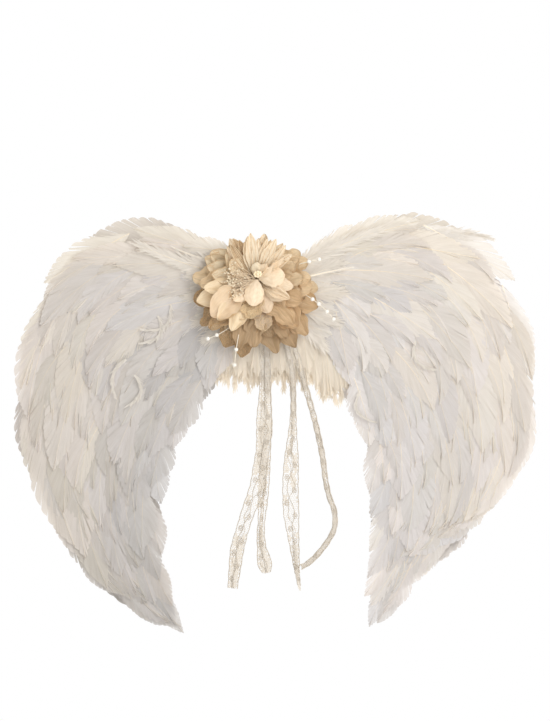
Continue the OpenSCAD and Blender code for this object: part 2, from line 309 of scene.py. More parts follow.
def rachis_line(base, tip, bow, t):
    """Points, directions and normals of a gently bowed quill at shares t of its length, and the length."""
    chord = tip - base
    length = np.linalg.norm(chord)
    u = chord / length
    n = np.array([-u[1], u[0]])
    rise = bow * length * 4 * t * (1 - t)
    slope = bow * 4 * (1 - 2 * t)
    points = base + u * (t * length)[:, None] + n * rise[:, None]
    tangent = u + n * slope[:, None]
    tangent /= np.linalg.norm(tangent, axis=1)[:, None]
    return points, tangent, np.stack([-tangent[:, 1], tangent[:, 0]], 1), length


def vane_outline(a):
    """Half width of a feather at share a of its length, as a share of its widest."""
    below = 1 - np.clip((WIDEST - a) / WIDEST, 0, 1) ** 1.7
    above = np.clip(1 - np.clip((a - WIDEST) / (1 - WIDEST), 0, 1) ** 1.7, 0, 1) ** 0.95
    return np.where(a < WIDEST, below, above)


def feather(piece, rng, base, tip, width, depth, bow, tint, facing=1, lift=1.1, ragged=1.0, quill=0.45):
    """One feather: two vanes of slanted barbs that part here and there, and a raised quill."""
    even = np.linspace(0.02, 1, BARB_STATIONS)
    t = 0.5 * even + 0.5 * (1 - (1 - even) ** (1 / BARB_SWEEP))
    points, tangent, normal, length = rachis_line(base, tip, bow, t)
    reach = 1 - (1 - t) ** BARB_SWEEP          # how far along the feather each barb ends
    half = width / 2 * vane_outline(reach)
    sweep_on = (reach - t) * length
    step = length / BARB_STATIONS
    seed = rng.random()
    curl = rng.uniform(0.3, 1.0) * lift
    camber = rng.uniform(0.3, 0.7)
    ridge = depth + facing * (camber + curl * smooth((t - 0.45) / 0.55) ** 1.5)

    def barbs(station, s, shift=0, stretch=1, up=0):
        """Points at share s of the barbs of these stations, with the clump's own shift, stretch and height."""
        out = half[station] * stretch * s ** 0.9
        ahead = sweep_on[station] * s ** 1.15 + shift
        flat = points[station] + tangent[station] * ahead[:, None] + side * normal[station] * out[:, None]
        return at_depth(flat, ridge[station] - facing * camber * s ** 2 + facing * up * s ** 2)

    for side in (-1, 1):
        block = [barbs(np.arange(BARB_STATIONS), s) for s in VANE_COLUMNS[:SHARED_COLUMNS]]
        vane = [vane_of(t, s, seed) for s in VANE_COLUMNS[:SHARED_COLUMNS]]
        index = numbered(SHARED_COLUMNS, BARB_STATIONS).T
        faces = quads(index[:, ::-side])
        count = index.size
        for first, last in barb_clumps(rng):
            stations = np.arange(first, last + 1)
            middle = (first + last) / 2
            deep = rng.random() < 0.05 * ragged
            gather = (0.3, 0.7, 0.95) if deep else (0.0, 0.03, 0.1 + 0.3 * ragged * rng.random())
            stretch = 1 + rng.uniform(-0.03, 0.03) * ragged
            up = rng.uniform(-0.25, 0.25)
            sweep = rng.uniform(-1, 1) * width * (0.06 if deep else 0.015)
            columns = [index[stations, -1]]
            for s, pull in zip(VANE_COLUMNS[SHARED_COLUMNS:], gather):
                shift = (middle - stations) * step * pull + sweep * s ** 2
                point = 1 + 0.05 * ragged * (1 - (2 * (stations - middle) / (last - first)) ** 2) * (s == 1)
                block.append(barbs(stations, s, shift, stretch * point, up))
                vane.append(vane_of(t[stations], s, seed))
                columns.append(count + np.arange(len(stations)))
                count += len(stations)
            faces += quads(np.stack(columns, 1)[:, ::-side])
        if facing < 0:
            faces = [f[::-1] for f in faces]
        piece.add(np.concatenate(block), faces, np.concatenate(vane), tint)
    ridge_line(piece, points, normal, ridge, quill, facing, tint)


def ridge_line(piece, points, normal, ridge, width, facing, tint):
    """The quill: a tapering ridge along the middle of a feather."""
    pick = np.linspace(0, len(points) - 1, 16).astype(int)
    w = width * np.linspace(1, 0.25, len(pick))
    rows = [at_depth(points[pick] + normal[pick] * (w * a)[:, None] / 2, ridge[pick] + facing * (0.03 + w * h))
            for a, h in ((-1, 0), (0, 0.7), (1, 0))]
    faces = quads(numbered(3, len(pick)).T)
    if facing > 0:
        faces = [f[::-1] for f in faces]
    piece.add(rows, faces, vane_of(np.tile(pick / (len(points) - 1), 3)), np.asarray(tint) * QUILL_WARMTH, 1)


def plume(piece, rng, base, tip, width, depth, bow, tint, barbs=50, open_angle=48, loose=1.0, first=0.04, shaft=0.4):
    """A plume of long separate soft barbs on a thin shaft."""
    t = np.linspace(first, 1, barbs)
    points, tangent, normal, _ = rachis_line(base, tip, bow, t)
    share = np.linspace(0, 1, PLUME_STEPS)
    half = 0.5 * (1 - share) ** 0.6 + 0.05
    index = numbered(barbs, PLUME_STEPS, 2)
    for side in (-1, 1):
        reach = width / 2 * (0.35 + 0.65 * np.sin(math.pi * np.clip(t * 0.82 + 0.12, 0, 1)) ** 0.7)
        reach = reach * rng.uniform(1 - 0.3 * loose, 1 + 0.15 * loose, barbs) / 0.75
        start = np.radians(open_angle * (1 - 0.6 * t) + rng.normal(0, 5 * loose, barbs))
        bend = np.radians(rng.uniform(-26, 6, barbs)) * loose
        heading = start[:, None] + bend[:, None] * share[None]
        step = reach[:, None] / (PLUME_STEPS - 1)
        out, ahead = (np.cumsum(f(heading) * step, 1) - f(heading[:, :1]) * step for f in (np.sin, np.cos))
        flat = points[:, None] + tangent[:, None] * ahead[..., None] + side * normal[:, None] * out[..., None]
        puff = rng.uniform(-0.6, 2.2, barbs)[:, None] * loose * share[None] ** 1.5
        sideways = normal[:, None] * np.cos(heading)[..., None] - side * tangent[:, None] * np.sin(heading)[..., None]
        grid = np.stack([at_depth(flat + edge * half[None, :, None] * sideways, depth + puff) for edge in (-1, 1)], 2)
        shade = rng.uniform(0.97, 1.03, barbs).repeat(PLUME_STEPS * 2)[:, None]
        vane = vane_of(t[:, None, None], share[:, None] * np.ones(2), rng.random(barbs)[:, None, None])
        piece.add(grid, [f for barb in index for f in quads(barb)], vane, np.asarray(tint) * shade)
    ridge_line(piece, points, normal, np.full(barbs, depth), shaft, 1, tint)


def down_fan(piece, rng, left, right, top, bottom, depth, count, lean=0.0):
    """Plumes that hang side by side from one line, their ragged ends making a soft lower edge."""
    for k in range(count):
        f = (k + rng.uniform(0.2, 0.8)) / count
        x = left + (right - left) * f
        spread = (f - 0.5) * 8 + lean + rng.uniform(-3, 3)
        base = np.array([x - spread, top + rng.uniform(-3, 3)])
        tip = np.array([x + spread * 0.6, bottom(f) + rng.uniform(-4, 2)])
        plume(piece, rng, base, tip, 15 * rng.uniform(0.8, 1.15), depth + rng.uniform(-1.2, 0.4),
              rng.uniform(-0.06, 0.06), DOWN * rng.uniform(0.94, 1.03), barbs=42, open_angle=36)


def feather_tint(rng, at):
    """Cream along the outer edges and the top, cooler towards the middle, and darker low on the left wing as painted
    shade.
    """
    outer = smooth((abs(at[0]) - 70) / 80)
    top = smooth((at[1] - 5) / 28)
    cool = (1 - 0.8 * outer) * (1 - 0.85 * top) * rng.uniform(0.2, 1.2)
    warm = rng.uniform(0, 1) ** 1.3 * (0.5 + 0.7 * outer + 0.5 * top) + 0.3 * top
    weights = np.array([warm, rng.uniform(0, 0.8), cool, 0.35])
    weights /= weights.sum()
    # Painted shade: feathers low on the left wing, far from the key lamp, are darkened, less so towards the outer edge.
    painted_falloff_shade = 1 - 0.16 * smooth((-at[0] - 20) / 50) * smooth((25 - at[1]) / 100) * (1 - 0.85 * outer)
    return (weights[:, None] * np.stack([CREAM, PINK, COOL, WHITE])).sum(0) * painted_falloff_shade * rng.uniform(0.9, 1.06)


def turned(base, tip, degrees):
    """The tip after its feather is turned about its base."""
    c, q = pointing(degrees)
    return base + np.array([[c, -q], [q, c]]) @ (tip - base)


# Feathers that fill out the inner edge and the tip of each wing, by row. Each is its base and tip, as distance from
# the middle and height, and its width.
EDGE_FEATHERS = {
    "left": {
        1: [(24, 27, 60, 33, 14), (24, 22, 64, 24, 18), (24, 17, 62, 14, 18), (24, 11, 62, 2, 18),
            (24, 6, 56, -12, 18), (24, 0, 52, -24, 18), (24, -5, 46, -34, 18), (26, -12, 38, -48, 16)],
        2: [(34, -14, 44, -58, 16), (44, 20, 86, 12, 18), (42, 10, 84, -4, 18), (40, 0, 76, -22, 18),
            (44, 31, 88, 37, 13)],
        4: [(58, -58, 66, -94, 17)], 6: [(76, -90, 73, -128, 17)],
        8: [(84, -122, 73, -160, 16), (86, -134, 74, -176, 15)],
        9: [(84, -152, 66, -192, 15), (86, -160, 70, -186, 13)],
        10: [(82, -170, 59, -209, 13), (84, -166, 64, -204, 14), (92, -170, 70, -203, 14)]},
    "right": {
        1: [(23, 34, 62, 43, 14), (23, 29, 66, 33, 18), (23, 23, 66, 22, 18), (23, 17, 64, 10, 18),
            (23, 12, 60, -2, 18), (23, 7, 56, -14, 18), (23, 2, 50, -24, 18), (24, -8, 42, -42, 16)],
        2: [(34, -10, 46, -54, 16), (44, 27, 88, 22, 18), (46, 20, 88, 8, 18), (46, 12, 84, -8, 18),
            (44, 37, 88, 44, 13)],
        4: [(52, -52, 57, -92, 17)], 6: [(64, -80, 57, -122, 17), (72, -96, 58, -136, 16)],
        8: [(73, -118, 57, -158, 16), (76, -134, 56, -174, 15)],
        9: [(74, -148, 54, -186, 15), (78, -160, 58, -192, 14)],
        10: [(72, -166, 57, -205, 13), (76, -170, 62, -203, 13), (84, -164, 66, -196, 15)]}}

# The outermost feather of each row: degrees turned in, and length as a share of its CAD feather
OUTER_TURN = {"left": [0, 0, -2, 0, 4, 2, 4, 4, 0, -4], "right": [0, 0, -2, 0, 3, 2, 3, 10, 24, 8]}
OUTER_REACH = {"left": [1.04, 1.14, 1.14, 1.08, 0.93, 1.02, 0.92, 0.92, 0.98, 1],
               "right": [1, 1.1, 1.16, 1.08, 0.95, 1.02, 0.95, 0.85, 0.8, 0.95]}
LONG_REACH, SHORT_REACH = (1.3, 1.5), (0.88, 1.02)      # lengths as shares of the CAD feathers
REAR_TURN = {"left": [0, 0, 0, 3], "right": [0, 0, 4, 12]}     # degrees the outer rear feathers of a row turn in
REAR_ROOT = 3.6                 # depth at which the rear feathers leave the wing
# How far a tip may pass a wing's outer flow line: height, distance
OVERHANG = {"left": [(-200, 3), (-150, 3), (-130, -2), (-85, -2), (-60, 2), (-10, 5), (15, 9), (40, 3)],
            "right": [(-205, 1), (-185, -9), (-160, -8), (-135, 2), (-40, 3), (-10, 6), (10, 9), (40, 3)]}


def trimmed(side, base, tip):
    """The tip drawn back along its feather until it is no more than the overhang past the wing's outer line."""
    line = flow(side, 0, np.linspace(0, 1, 60))
    for _ in range(12):
        nearest = np.argmin(np.linalg.norm(line - tip, axis=1))
        nearest = min(max(nearest, 1), len(line) - 2)
        along = line[nearest + 1] - line[nearest - 1]
        outward = np.array([along[1], -along[0]]) * -SIDES[side] / np.linalg.norm(along)
        if (tip - line[nearest]) @ outward <= np.interp(tip[1], *zip(*OVERHANG[side])):
            break
        tip = base + (tip - base) * 0.95
    return tip


def make_front_feathers(side, sign, row):
    """A row of covering feathers: one for each CAD feather, a wide one under and a narrow one over each gap, and
    some along the inner edge."""
    name = f"{side}_front_feathers_{row}"
    rng = np.random.default_rng(100 * row + (7 if sign > 0 else 3))
    quills, wide_quill, thin_quill = (0.7, 0.55, 0.4) if sign > 0 else (0.45, 0.35, 0.3)
    piece = Piece()
    t = (row - 1) / 11
    across = flow(side, 1, t) - flow(side, 0, t)
    solids = cad_feathers(name)
    solids = [solids[k] for k in np.argsort([f[0] @ across for f in solids])]
    for number, (base, tip, width, depth) in enumerate(solids):
        inside = min(number, len(solids) - 1 - number, 2)
        long = inside and row < 9 and (number + row) % 2 == 0
        if inside:
            slide = rng.uniform(-0.14, 0.14) * (tip - base)
            base, tip = base + slide, tip + slide
        end = turned(base, tip, rng.uniform(-7, 7) if inside else 0)
        reach = rng.uniform(*(LONG_REACH if long else SHORT_REACH))
        if number == 0:
            end, reach = turned(base, tip, -sign * OUTER_TURN[side][row - 1]), OUTER_REACH[side][row - 1]
        width = width * (0.92 if long else 0.85 if inside else 0.78)
        end = trimmed(side, base, base + (end - base) * reach)
        bow = sign * (rng.uniform(0.03, 0.09) if inside else rng.uniform(0.0, 0.03))
        feather(piece, rng, base, end, width * rng.uniform(0.9, 1.12), depth + 0.3 * bool(long), bow,
                feather_tint(rng, end), quill=quills, ragged=1.3 - 0.35 * inside)
    for (base, tip, width, depth), (other, other_tip, _, _) in zip(solids[:-1], solids[1:]):
        base, tip = (base + other) / 2, (tip + other_tip) / 2
        base = base + rng.uniform(-0.1, 0.2) * (tip - base)
        end = turned(base, tip, rng.uniform(-9, 9))
        feather(piece, rng, base, trimmed(side, base, end), width * rng.uniform(0.75, 0.9),
                depth - rng.uniform(0.1, 0.3), sign * rng.uniform(0.03, 0.1), feather_tint(rng, end), quill=wide_quill)
        base = base + rng.uniform(0.0, 0.2) * (end - base)
        end = trimmed(side, base, base + (turned(base, tip, rng.uniform(-8, 8)) - base) * rng.uniform(0.9, 1.25))
        feather(piece, rng, base, end, width * rng.uniform(0.4, 0.55), depth + rng.uniform(0.4, 0.7),
                sign * rng.uniform(0.04, 0.12), feather_tint(rng, end), quill=thin_quill, ragged=1.2)
    for x, z, tip_x, tip_z, width in EDGE_FEATHERS[side].get(row, ()):
        base, tip = np.array([sign * x, z], float), np.array([sign * tip_x, tip_z], float)
        feather(piece, rng, base, tip, width, depth + rng.uniform(0.1, 0.5), sign * rng.uniform(0, 0.05),
                feather_tint(rng, tip), quill=0.4, ragged=1.2)
    piece.build(f"{side}_front_plumage_{row}", [FEATHER, QUILL], f"{side}_wing", [name], "cover_feather")


def make_rear_feathers(side, sign, row):
    """A row of feathers on the wearer's side, with one more between each two."""
    name = f"{side}_rear_feathers_{row}"
    rng = np.random.default_rng(500 + 10 * row + sign)
    piece = Piece()
    t = 0.04 + 0.23 * (row - 1)
    across = flow(side, 1, t) - flow(side, 0, t)
    solids = sorted(cad_feathers(name), key=lambda f: f[0] @ across)
    first, last = (solids[k][0] @ across for k in (0, -1))
    between = [((a[0] + b[0]) / 2, (a[1] + b[1]) / 2, a[2], max(a[3], b[3]) + 0.3)
               for a, b in zip(solids[:-1], solids[1:])]
    for base, tip, width, depth in solids + between:
        rise = REAR_ROOT + (depth - REAR_ROOT) * smooth(np.linspace(0, 2.2, BARB_STATIONS))
        outer = max(0, 1 - 2.2 * (base @ across - first) / (last - first))
        turn = outer * REAR_TURN[side][row - 1]
        tip = turned(base, tip, -sign * turn)
        tip = trimmed(side, base, base + (tip - base) * (1 - 0.035 * turn) * rng.uniform(1.0, 1.12))
        feather(piece, rng, base, tip, width * (1 - 0.012 * turn), rise, sign * rng.uniform(0.02, 0.06),
                feather_tint(rng, tip) * 0.98, facing=-1, lift=0.5)
    piece.build(f"{side}_rear_plumage_{row}", [FEATHER, QUILL], f"{side}_wing", [name], "lining_feather")


# Four layers of short feathers under the flower: depth, height of their tips
DOWN_LAYERS = [(9.5, -52), (11.5, -50), (15.2, -51), (16.6, -47)]
# Plumes beside the flower: middle, direction in degrees
SIDE_PLUMES = [(12, 22, 30), (14, 14, 18), (14, 6, -4), (13, -3, -26), (11, -10, -48), (-36, 20, 164), (-38, 13, 172),
               (-38, 4, 188), (-36, -6, 212), (-34, -12, 232)]
# White feathers beside the flower: base, tip
SIDE_FEATHERS = [(6, 14, 44, 33), (6, 10, 42, 22), (6, 4, 42, 8), (6, -2, 38, -8), (4, -8, 34, -22),
                 (-32, 16, -54, 22), (-32, 8, -56, 8), (-32, 0, -52, -10), (-28, -6, -46, -26)]
# Curled wisps of down that lie over the feathers: middle, length, direction in degrees
WISPS = {"left": [((-76, -10), 24, 225), ((-80, -18), 20, 245), ((-98, -48), 24, 250), ((-92, -56), 20, 262)],
         "right": [((56, -66), 22, 290), ((92, -34), 22, 300)]}


def make_centre_down():
    """Marabou down under the flower, with side plumes in front of the wings' roots, so that no gap shows. Returns the
    random source that the down at the roots goes on with."""
    rng = np.random.default_rng(21)
    piece = Piece()
    for depth, low in DOWN_LAYERS:
        for k in range(8):
            x = -25 + 46 * (k + 0.5) / 8 + rng.uniform(-1.5, 1.5)
            base, tip = np.array([x * 0.8, -4.0]), np.array([x * 1.08, low + rng.uniform(-4, 3)])
            feather(piece, rng, base, tip, 13, depth + 0.2 * (k % 3), rng.uniform(-0.03, 0.03),
                    DOWN * rng.uniform(0.97, 1.02), ragged=2.2, quill=0.2)
    for layer, depth in enumerate((12.5, 14.0)):
        down_fan(piece, rng, -27, 20, -8 + 8 * layer, lambda f: -53 + 3 * layer + 2 * f, depth, 9)
    for x, z, turn in SIDE_PLUMES:
        base = np.array([x * 0.6, z * 0.8])
        tip = np.array([x, z]) + (34 if x > 0 else 20) * 0.72 * pointing(turn)
        plume(piece, rng, base, tip, 20, 17.4 + rng.uniform(-0.3, 0.6), rng.uniform(-0.08, 0.08),
              WHITE * rng.uniform(0.97, 1.02), barbs=52, open_angle=34, first=0.35, shaft=0.3)
    for ends in SIDE_FEATHERS:
        base, tip = np.array(ends, float).reshape(2, 2)
        feather(piece, rng, base, tip, 17, 17.0 + rng.uniform(-0.2, 0.3), rng.uniform(-0.05, 0.05),
                WHITE * rng.uniform(0.96, 1.0), ragged=1.6, quill=0.25)
    piece.build("centre_down_plumes", [PLUME, QUILL], "back", ["centre_down"], "down")
    return rng


def make_root_down(side, sign, rng):
    """Down where a wing begins; it moves with the wing."""
    piece = Piece()
    low = {"left": lambda f: -45 - 4 * (1 - f), "right": lambda f: -55 - 5 * math.sin(math.pi * f)}[side]
    inner, outer = (-25, -42) if sign < 0 else (23, 44)
    for depth in (11.0, 13.5):
        down_fan(piece, rng, inner, outer, -6, low, depth, 5, lean=sign * 3)
        for k in range(7):
            f = (k + rng.uniform(0.2, 0.8)) / 7
            x = inner + (outer - inner) * f
            feather(piece, rng, np.array([x - sign * 6, -5.0]), np.array([x, low(f) + rng.uniform(-3, 4)]), 11,
                    depth + 1.2, rng.uniform(-0.04, 0.04), DOWN * rng.uniform(0.97, 1.02), ragged=2.0, quill=0.2)
    piece.build(f"{side}_root_down", [PLUME, QUILL], f"{side}_wing", (), "down")


def make_top_plumes(side, sign):
    """Soft plumes along the upper edge of a wing, near the flower."""
    rng = np.random.default_rng(40 + sign)
    piece = Piece()
    low, climb, lift = (12, 19, 0) if sign < 0 else (25, 15, RIGHT_LIFT)
    for k in range(7):
        x = 24 + 11 * k + rng.uniform(-2, 2)
        top = low + climb * smooth((x - 24) / 70) + lift
        base = np.array([sign * x, top + rng.uniform(-9, -3)])
        reach = rng.uniform(30, 42)
        tip = base + reach * (pointing(rng.uniform(12, 24) - 0.25 * (x - 24)) * (sign, 1))
        plume(piece, rng, base, tip, rng.uniform(13, 17), 11.5 + 0.5 * k % 3, sign * rng.uniform(0.02, 0.08),
              WHITE * rng.uniform(0.95, 1.02), barbs=46, open_angle=34, loose=0.8, shaft=0.3)
    piece.build(f"{side}_top_plumes", [PLUME, QUILL], f"{side}_wing", (), "plume_feather")


def make_wisps(side):
    rng = np.random.default_rng(len(WISPS[side]))
    piece = Piece()
    for middle, length, degrees in WISPS[side]:
        along = pointing(degrees)
        base = np.array(middle, float) - along * length / 2
        plume(piece, rng, base, base + along * length, rng.uniform(6, 9), 17.2,
              rng.choice([-1, 1]) * rng.uniform(0.2, 0.35), WHITE * 0.93, barbs=22, open_angle=20, loose=0.9, shaft=0.1)
    piece.build(f"{side}_wisps", [PLUME, QUILL], f"{side}_wing", (), "plume_feather")


def make_accent_plumes():
    """The large loose plumes beside the flower, and two thin quills."""
    rng = np.random.default_rng(61)
    piece = Piece()
    big, thin, left = sorted(cad_feathers("accent_plumes"), key=lambda f: -f[1][0] - f[2])
    for base, tip, width, depth in (big, left):
        plume(piece, rng, base, tip, width, depth, 0.03, WHITE, barbs=64, open_angle=36, loose=0.7, first=0.3,
              shaft=0.5)
    base, tip, width, depth = thin
    for base, tip, depth in ((base, tip, depth + 9), (np.array([-40.0, 24.0]), np.array([-66.0, 33.0]), depth)):
        plume(piece, rng, base, tip, width * 0.6, depth, 0.03, WHITE, barbs=40, open_angle=10, loose=0.2, first=0.1,
              shaft=1.0)
    piece.build("accent_plumage", [PLUME, QUILL], "back", ["accent_plumes"], "plume_feather")


# ---- Flower ----

SATIN, CHIFFON, NET, BURLAP, LACE = range(5)
PETAL_ROWS, PETAL_COLUMNS = 29, 13
PETAL_FILL = 0.72               # a petal's area as a share of its length times its width
CRUMPLED = 0.62                 # how far crumpled petals rise and dip
LOW_FILL = {"outer": 7, "lace": 8}      # small crumpled petals between the large ones, low on the flower
TOP_FILL = {"chiffon": 6, "satin": 5}   # narrow upright petals between the large ones, at its top
FLOWER_REACH, FLOWER_DROP = 38.76, 0.24     # how far the outer petals reach, and how much farther downwards
SLOTS = {"outer": "petal_linen", "lace": "petal_lace", "chiffon": "petal_chiffon", "satin": "petal_satin",
         "inner": "petal_satin", "heart": "petal_satin"}


def petal(piece, trim, rng, heading, length, width, slot, tint, start=3.0, rise=0.0, tilt=(15, 5), cup=0.25,
          crease=0.3, pleats=2.0, ruffle=0.0, blunt=0.7, side_bend=0.0, origin=FLOWER_AT, belly=1.1, cords=(),
          painted_base_shade=0.8, crinkle=0.2, frayed=0.0):
    """One cloth petal, from its base near the flower's middle outwards. tilt is its angle out of the flat at its base
    and tip, cup how far its edges come forward, crease the depth of its lengthwise pleats. Its colour
    is darkened towards its base as painted shade."""
    t = 1 - (1 - np.linspace(0, 1, PETAL_ROWS)) ** 1.6
    s = np.linspace(-1, 1, PETAL_COLUMNS)
    down = t[:, None]
    angle = np.radians(tilt[0] + (tilt[1] - tilt[0]) * t)
    step = length * np.diff(t)
    along, high = (np.concatenate([[0], np.cumsum(f(angle[1:]) * step)])[:, None] for f in (np.cos, np.sin))
    half = width / 2 * np.where(t < 0.3, np.maximum(np.sin(math.pi * t ** belly) ** blunt, 0.2),
                                np.maximum(np.sin(math.pi * np.minimum(t, 0.9995) ** belly), 1e-4) ** blunt)
    phase = rng.uniform(0, 6.28)
    ripple = ruffle * np.sin(2 * math.pi * (2.3 * down + 0.35 * s) + phase) * np.abs(s) ** 2
    folds = crease * np.cos(math.pi * pleats * s + phase / 3)[None] * np.sin(math.pi * down) ** 0.5
    crumple = crinkle * (np.sin(11 * down + 5 * s + phase) * np.sin(9 * s - 5 * down + 2 * phase)
                         + 0.6 * np.sin(14 * s + 7 * down + 3 * phase) * down)
    half = half * (1 + 0.25 * crinkle * np.sin(19 * t + phase) + 0.12 * crinkle * np.sin(41 * t + 2 * phase)
                   + frayed * rng.uniform(-1, 1, PETAL_ROWS))
    height = high + cup * half[:, None] * s ** 2 + folds + ripple + crumple
    out = half[:, None] * s * (1 - 0.12 * cup * s ** 2)
    turn = np.radians(heading) + np.radians(side_bend) * down
    radius = start + along
    x = origin[0] + radius * np.cos(turn) - out * np.sin(turn)
    z = origin[1] + radius * np.sin(turn) + out * np.cos(turn)
    points = np.stack([x, z, PETAL_DEPTH + rise + height], -1)
    # Painted shade: each petal's colour darkens towards its base, where the petals over it lie.
    shade = (painted_base_shade + (1 - painted_base_shade) * smooth(t * 1.6))[:, None] * np.ones(PETAL_COLUMNS)
    piece.add(points, quads(numbered(PETAL_ROWS, PETAL_COLUMNS)), vane_of(down, s, rng.random()),
              np.asarray(tint) * shade.reshape(-1, 1), slot)
    for path, thickness, colour in cords:
        cord_on(trim, points, path, thickness, colour)
    return length * width * PETAL_FILL


def cord_on(piece, points, path, radius, colour):
    """A fine cord sewn on a petal, along (share along, share across) points."""
    path = np.asarray(path, float)
    rows, columns = points.shape[:2]
    row = np.clip(path[:, 0], 0, 1) * (rows - 1)
    column = (np.clip(path[:, 1], -1, 1) + 1) / 2 * (columns - 1)
    i, j = np.minimum(row.astype(int), rows - 2), np.minimum(column.astype(int), columns - 2)
    fi, fj = (row - i)[:, None], (column - j)[:, None]
    line = ((1 - fi) * (1 - fj) * points[i, j] + fi * (1 - fj) * points[i + 1, j]
            + (1 - fi) * fj * points[i, j + 1] + fi * fj * points[i + 1, j + 1])
    thread(piece, line + (0, 0, 0.12), radius, colour)


def thread(piece, line, radius, colour, slot=0):
    """A thin four-sided tube along a line of points."""
    line = np.asarray(line, float)
    tangent = np.gradient(line, axis=0)
    tangent /= np.maximum(np.linalg.norm(tangent, axis=1), 1e-9)[:, None]
    reference = np.where(np.abs(tangent[:, 2:3]) > 0.9, [[1.0, 0, 0]], [[0, 0, 1.0]])
    a = np.cross(tangent, reference)
    a /= np.linalg.norm(a, axis=1)[:, None]
    b = np.cross(tangent, a)
    r = np.broadcast_to(np.asarray(radius, float), (len(line),))[:, None]
    ring = np.stack([line + r * a, line + r * b, line - r * a, line - r * b], 1)
    share = np.linspace(0, 1, len(line)).repeat(4)
    piece.add(ring, quads(numbered(len(line), 4, closed=True)), vane_of(share), colour, slot)


def outline_cord(colour, radius):
    """A cord just inside both edges of a petal."""
    t = np.linspace(0.12, 1, 22)
    return [([(a, side * 0.93) for a in t], radius, colour) for side in (-1, 1)]


def vein_cords(colour, count, radius):
    """Fine embroidery lines that run up a petal and fan a little."""
    lines = []
    for k in range(count):
        f = (k / (count - 1) - 0.5) * 1.5
        t = np.linspace(0.15, 0.9 - 0.15 * abs(f), 14)
        lines.append(([(a, f * (0.5 + 0.5 * a) + 0.05 * math.sin(9 * a + k)) for a in t], radius, colour))
    return lines


def scroll_cords(rng, colour, radius):
    """A wandering cord and little loops, as on corded lace."""
    t = np.linspace(0.1, 0.95, 40)
    wander = 0.45 * np.sin(t * 17 + rng.uniform(0, 6)) * (0.6 + 0.4 * t)
    lines = [(list(zip(t, wander)), radius, colour)]
    turn = np.linspace(0, 2 * math.pi, 14)
    for k in range(4):
        along, across = 0.25 + 0.18 * k, (-1) ** k * 0.45
        lines.append(([(along + 0.07 * math.cos(q), across + 0.28 * math.sin(q)) for q in turn], radius, colour))
    return lines


def reach_at(heading, share):
    """How far from its middle the flower reaches in a direction."""
    return FLOWER_REACH * share * (1 - FLOWER_DROP * math.sin(math.radians(heading)))


SLIM = {"upright": 0.62, "embroidered": 0.7, "rose": 0.85}      # widths of narrow petals, as shares of their ring's


def petal_styles(kind, rng):
    """Slot, tint and form of a petal by what it is made of."""
    return {
        "satin": dict(slot=SATIN, tint=PEACH, crease=0.35, cup=0.3, blunt=0.65),
        "upright": dict(slot=SATIN, tint=IVORY * (1, 0.99, 1), crease=0.35, pleats=1.5, cup=0.35, blunt=0.75,
                        belly=1.15, cords=vein_cords(TAN * 1.5, 3, 0.08)),
        "embroidered": dict(slot=CHIFFON, tint=PEACH * (1.02, 1.0, 0.95), crease=0.5, pleats=2.2, cup=0.3,
                            blunt=0.7, cords=vein_cords(TAN, 5, 0.14)),
        "golden": dict(slot=CHIFFON, tint=CHAMPAGNE * (1.03, 1.06, 1.14), crease=0.6, pleats=1.9, cup=0.22, blunt=0.5,
                       ruffle=0.9, crinkle=CRUMPLED, painted_base_shade=0.9),
        "beige": dict(slot=CHIFFON, tint=GOLDEN * (1.02, 1.0, 1.02), crease=0.6, pleats=2.3, cup=0.15, blunt=0.45,
                      ruffle=1.0, crinkle=CRUMPLED),
        "net": dict(slot=NET, tint=IVORY * (1, 0.98, 0.94), crease=0.3, cup=0.25, blunt=0.6, painted_base_shade=1,
                    cords=outline_cord(TAN * 1.2, 0.12) + scroll_cords(rng, TAN * 1.4, 0.09)),
        "burlap": dict(slot=BURLAP, tint=ROSE * 1.3, crease=0.4, cup=0.2, blunt=0.5, ruffle=0.7, crinkle=CRUMPLED,
                       frayed=0.09, cords=outline_cord(TAN, 0.25) + scroll_cords(rng, TAN * 1.15, 0.2)),
        "lace": dict(slot=LACE, tint=BLUSH, crease=0.3, cup=0.2, blunt=0.5, ruffle=0.5, crinkle=CRUMPLED, frayed=0.08,
                     cords=outline_cord(CHAMPAGNE * 0.9, 0.22) + scroll_cords(rng, CHAMPAGNE * 0.95, 0.2)),
        "rose": dict(slot=CHIFFON, tint=ROSE * 1.1, crease=0.5, pleats=2.2, cup=0.15, blunt=0.5, ruffle=1.1,
                     crinkle=CRUMPLED, frayed=0.06),
        "cream": dict(slot=SATIN, tint=IVORY * (0.98, 0.93, 0.86), crease=0.7, pleats=1.3, cup=0.3, blunt=0.6),
    }[kind]


# Each ring of large petals: first heading, styles going round anticlockwise, share of the reach, width, rise, tilt
RINGS = {
    "outer": (0, "golden golden golden upright embroidered upright upright net net golden burlap burlap burlap burlap "
                 "rose rose beige beige", 1.0, 16, 0.6, (12, 0)),
    "lace": (10, "golden golden upright embroidered upright net net golden cream burlap rose rose rose beige golden",
             0.9, 15, 2.6, (20, 5)),
    "chiffon": (0, "golden golden upright upright embroidered net net cream cream lace lace beige beige",
                0.78, 13, 5.0, (28, 10)),
    "satin": (20, "golden upright upright net net satin cream lace satin", 0.62, 12, 7.6, (34, 14))}

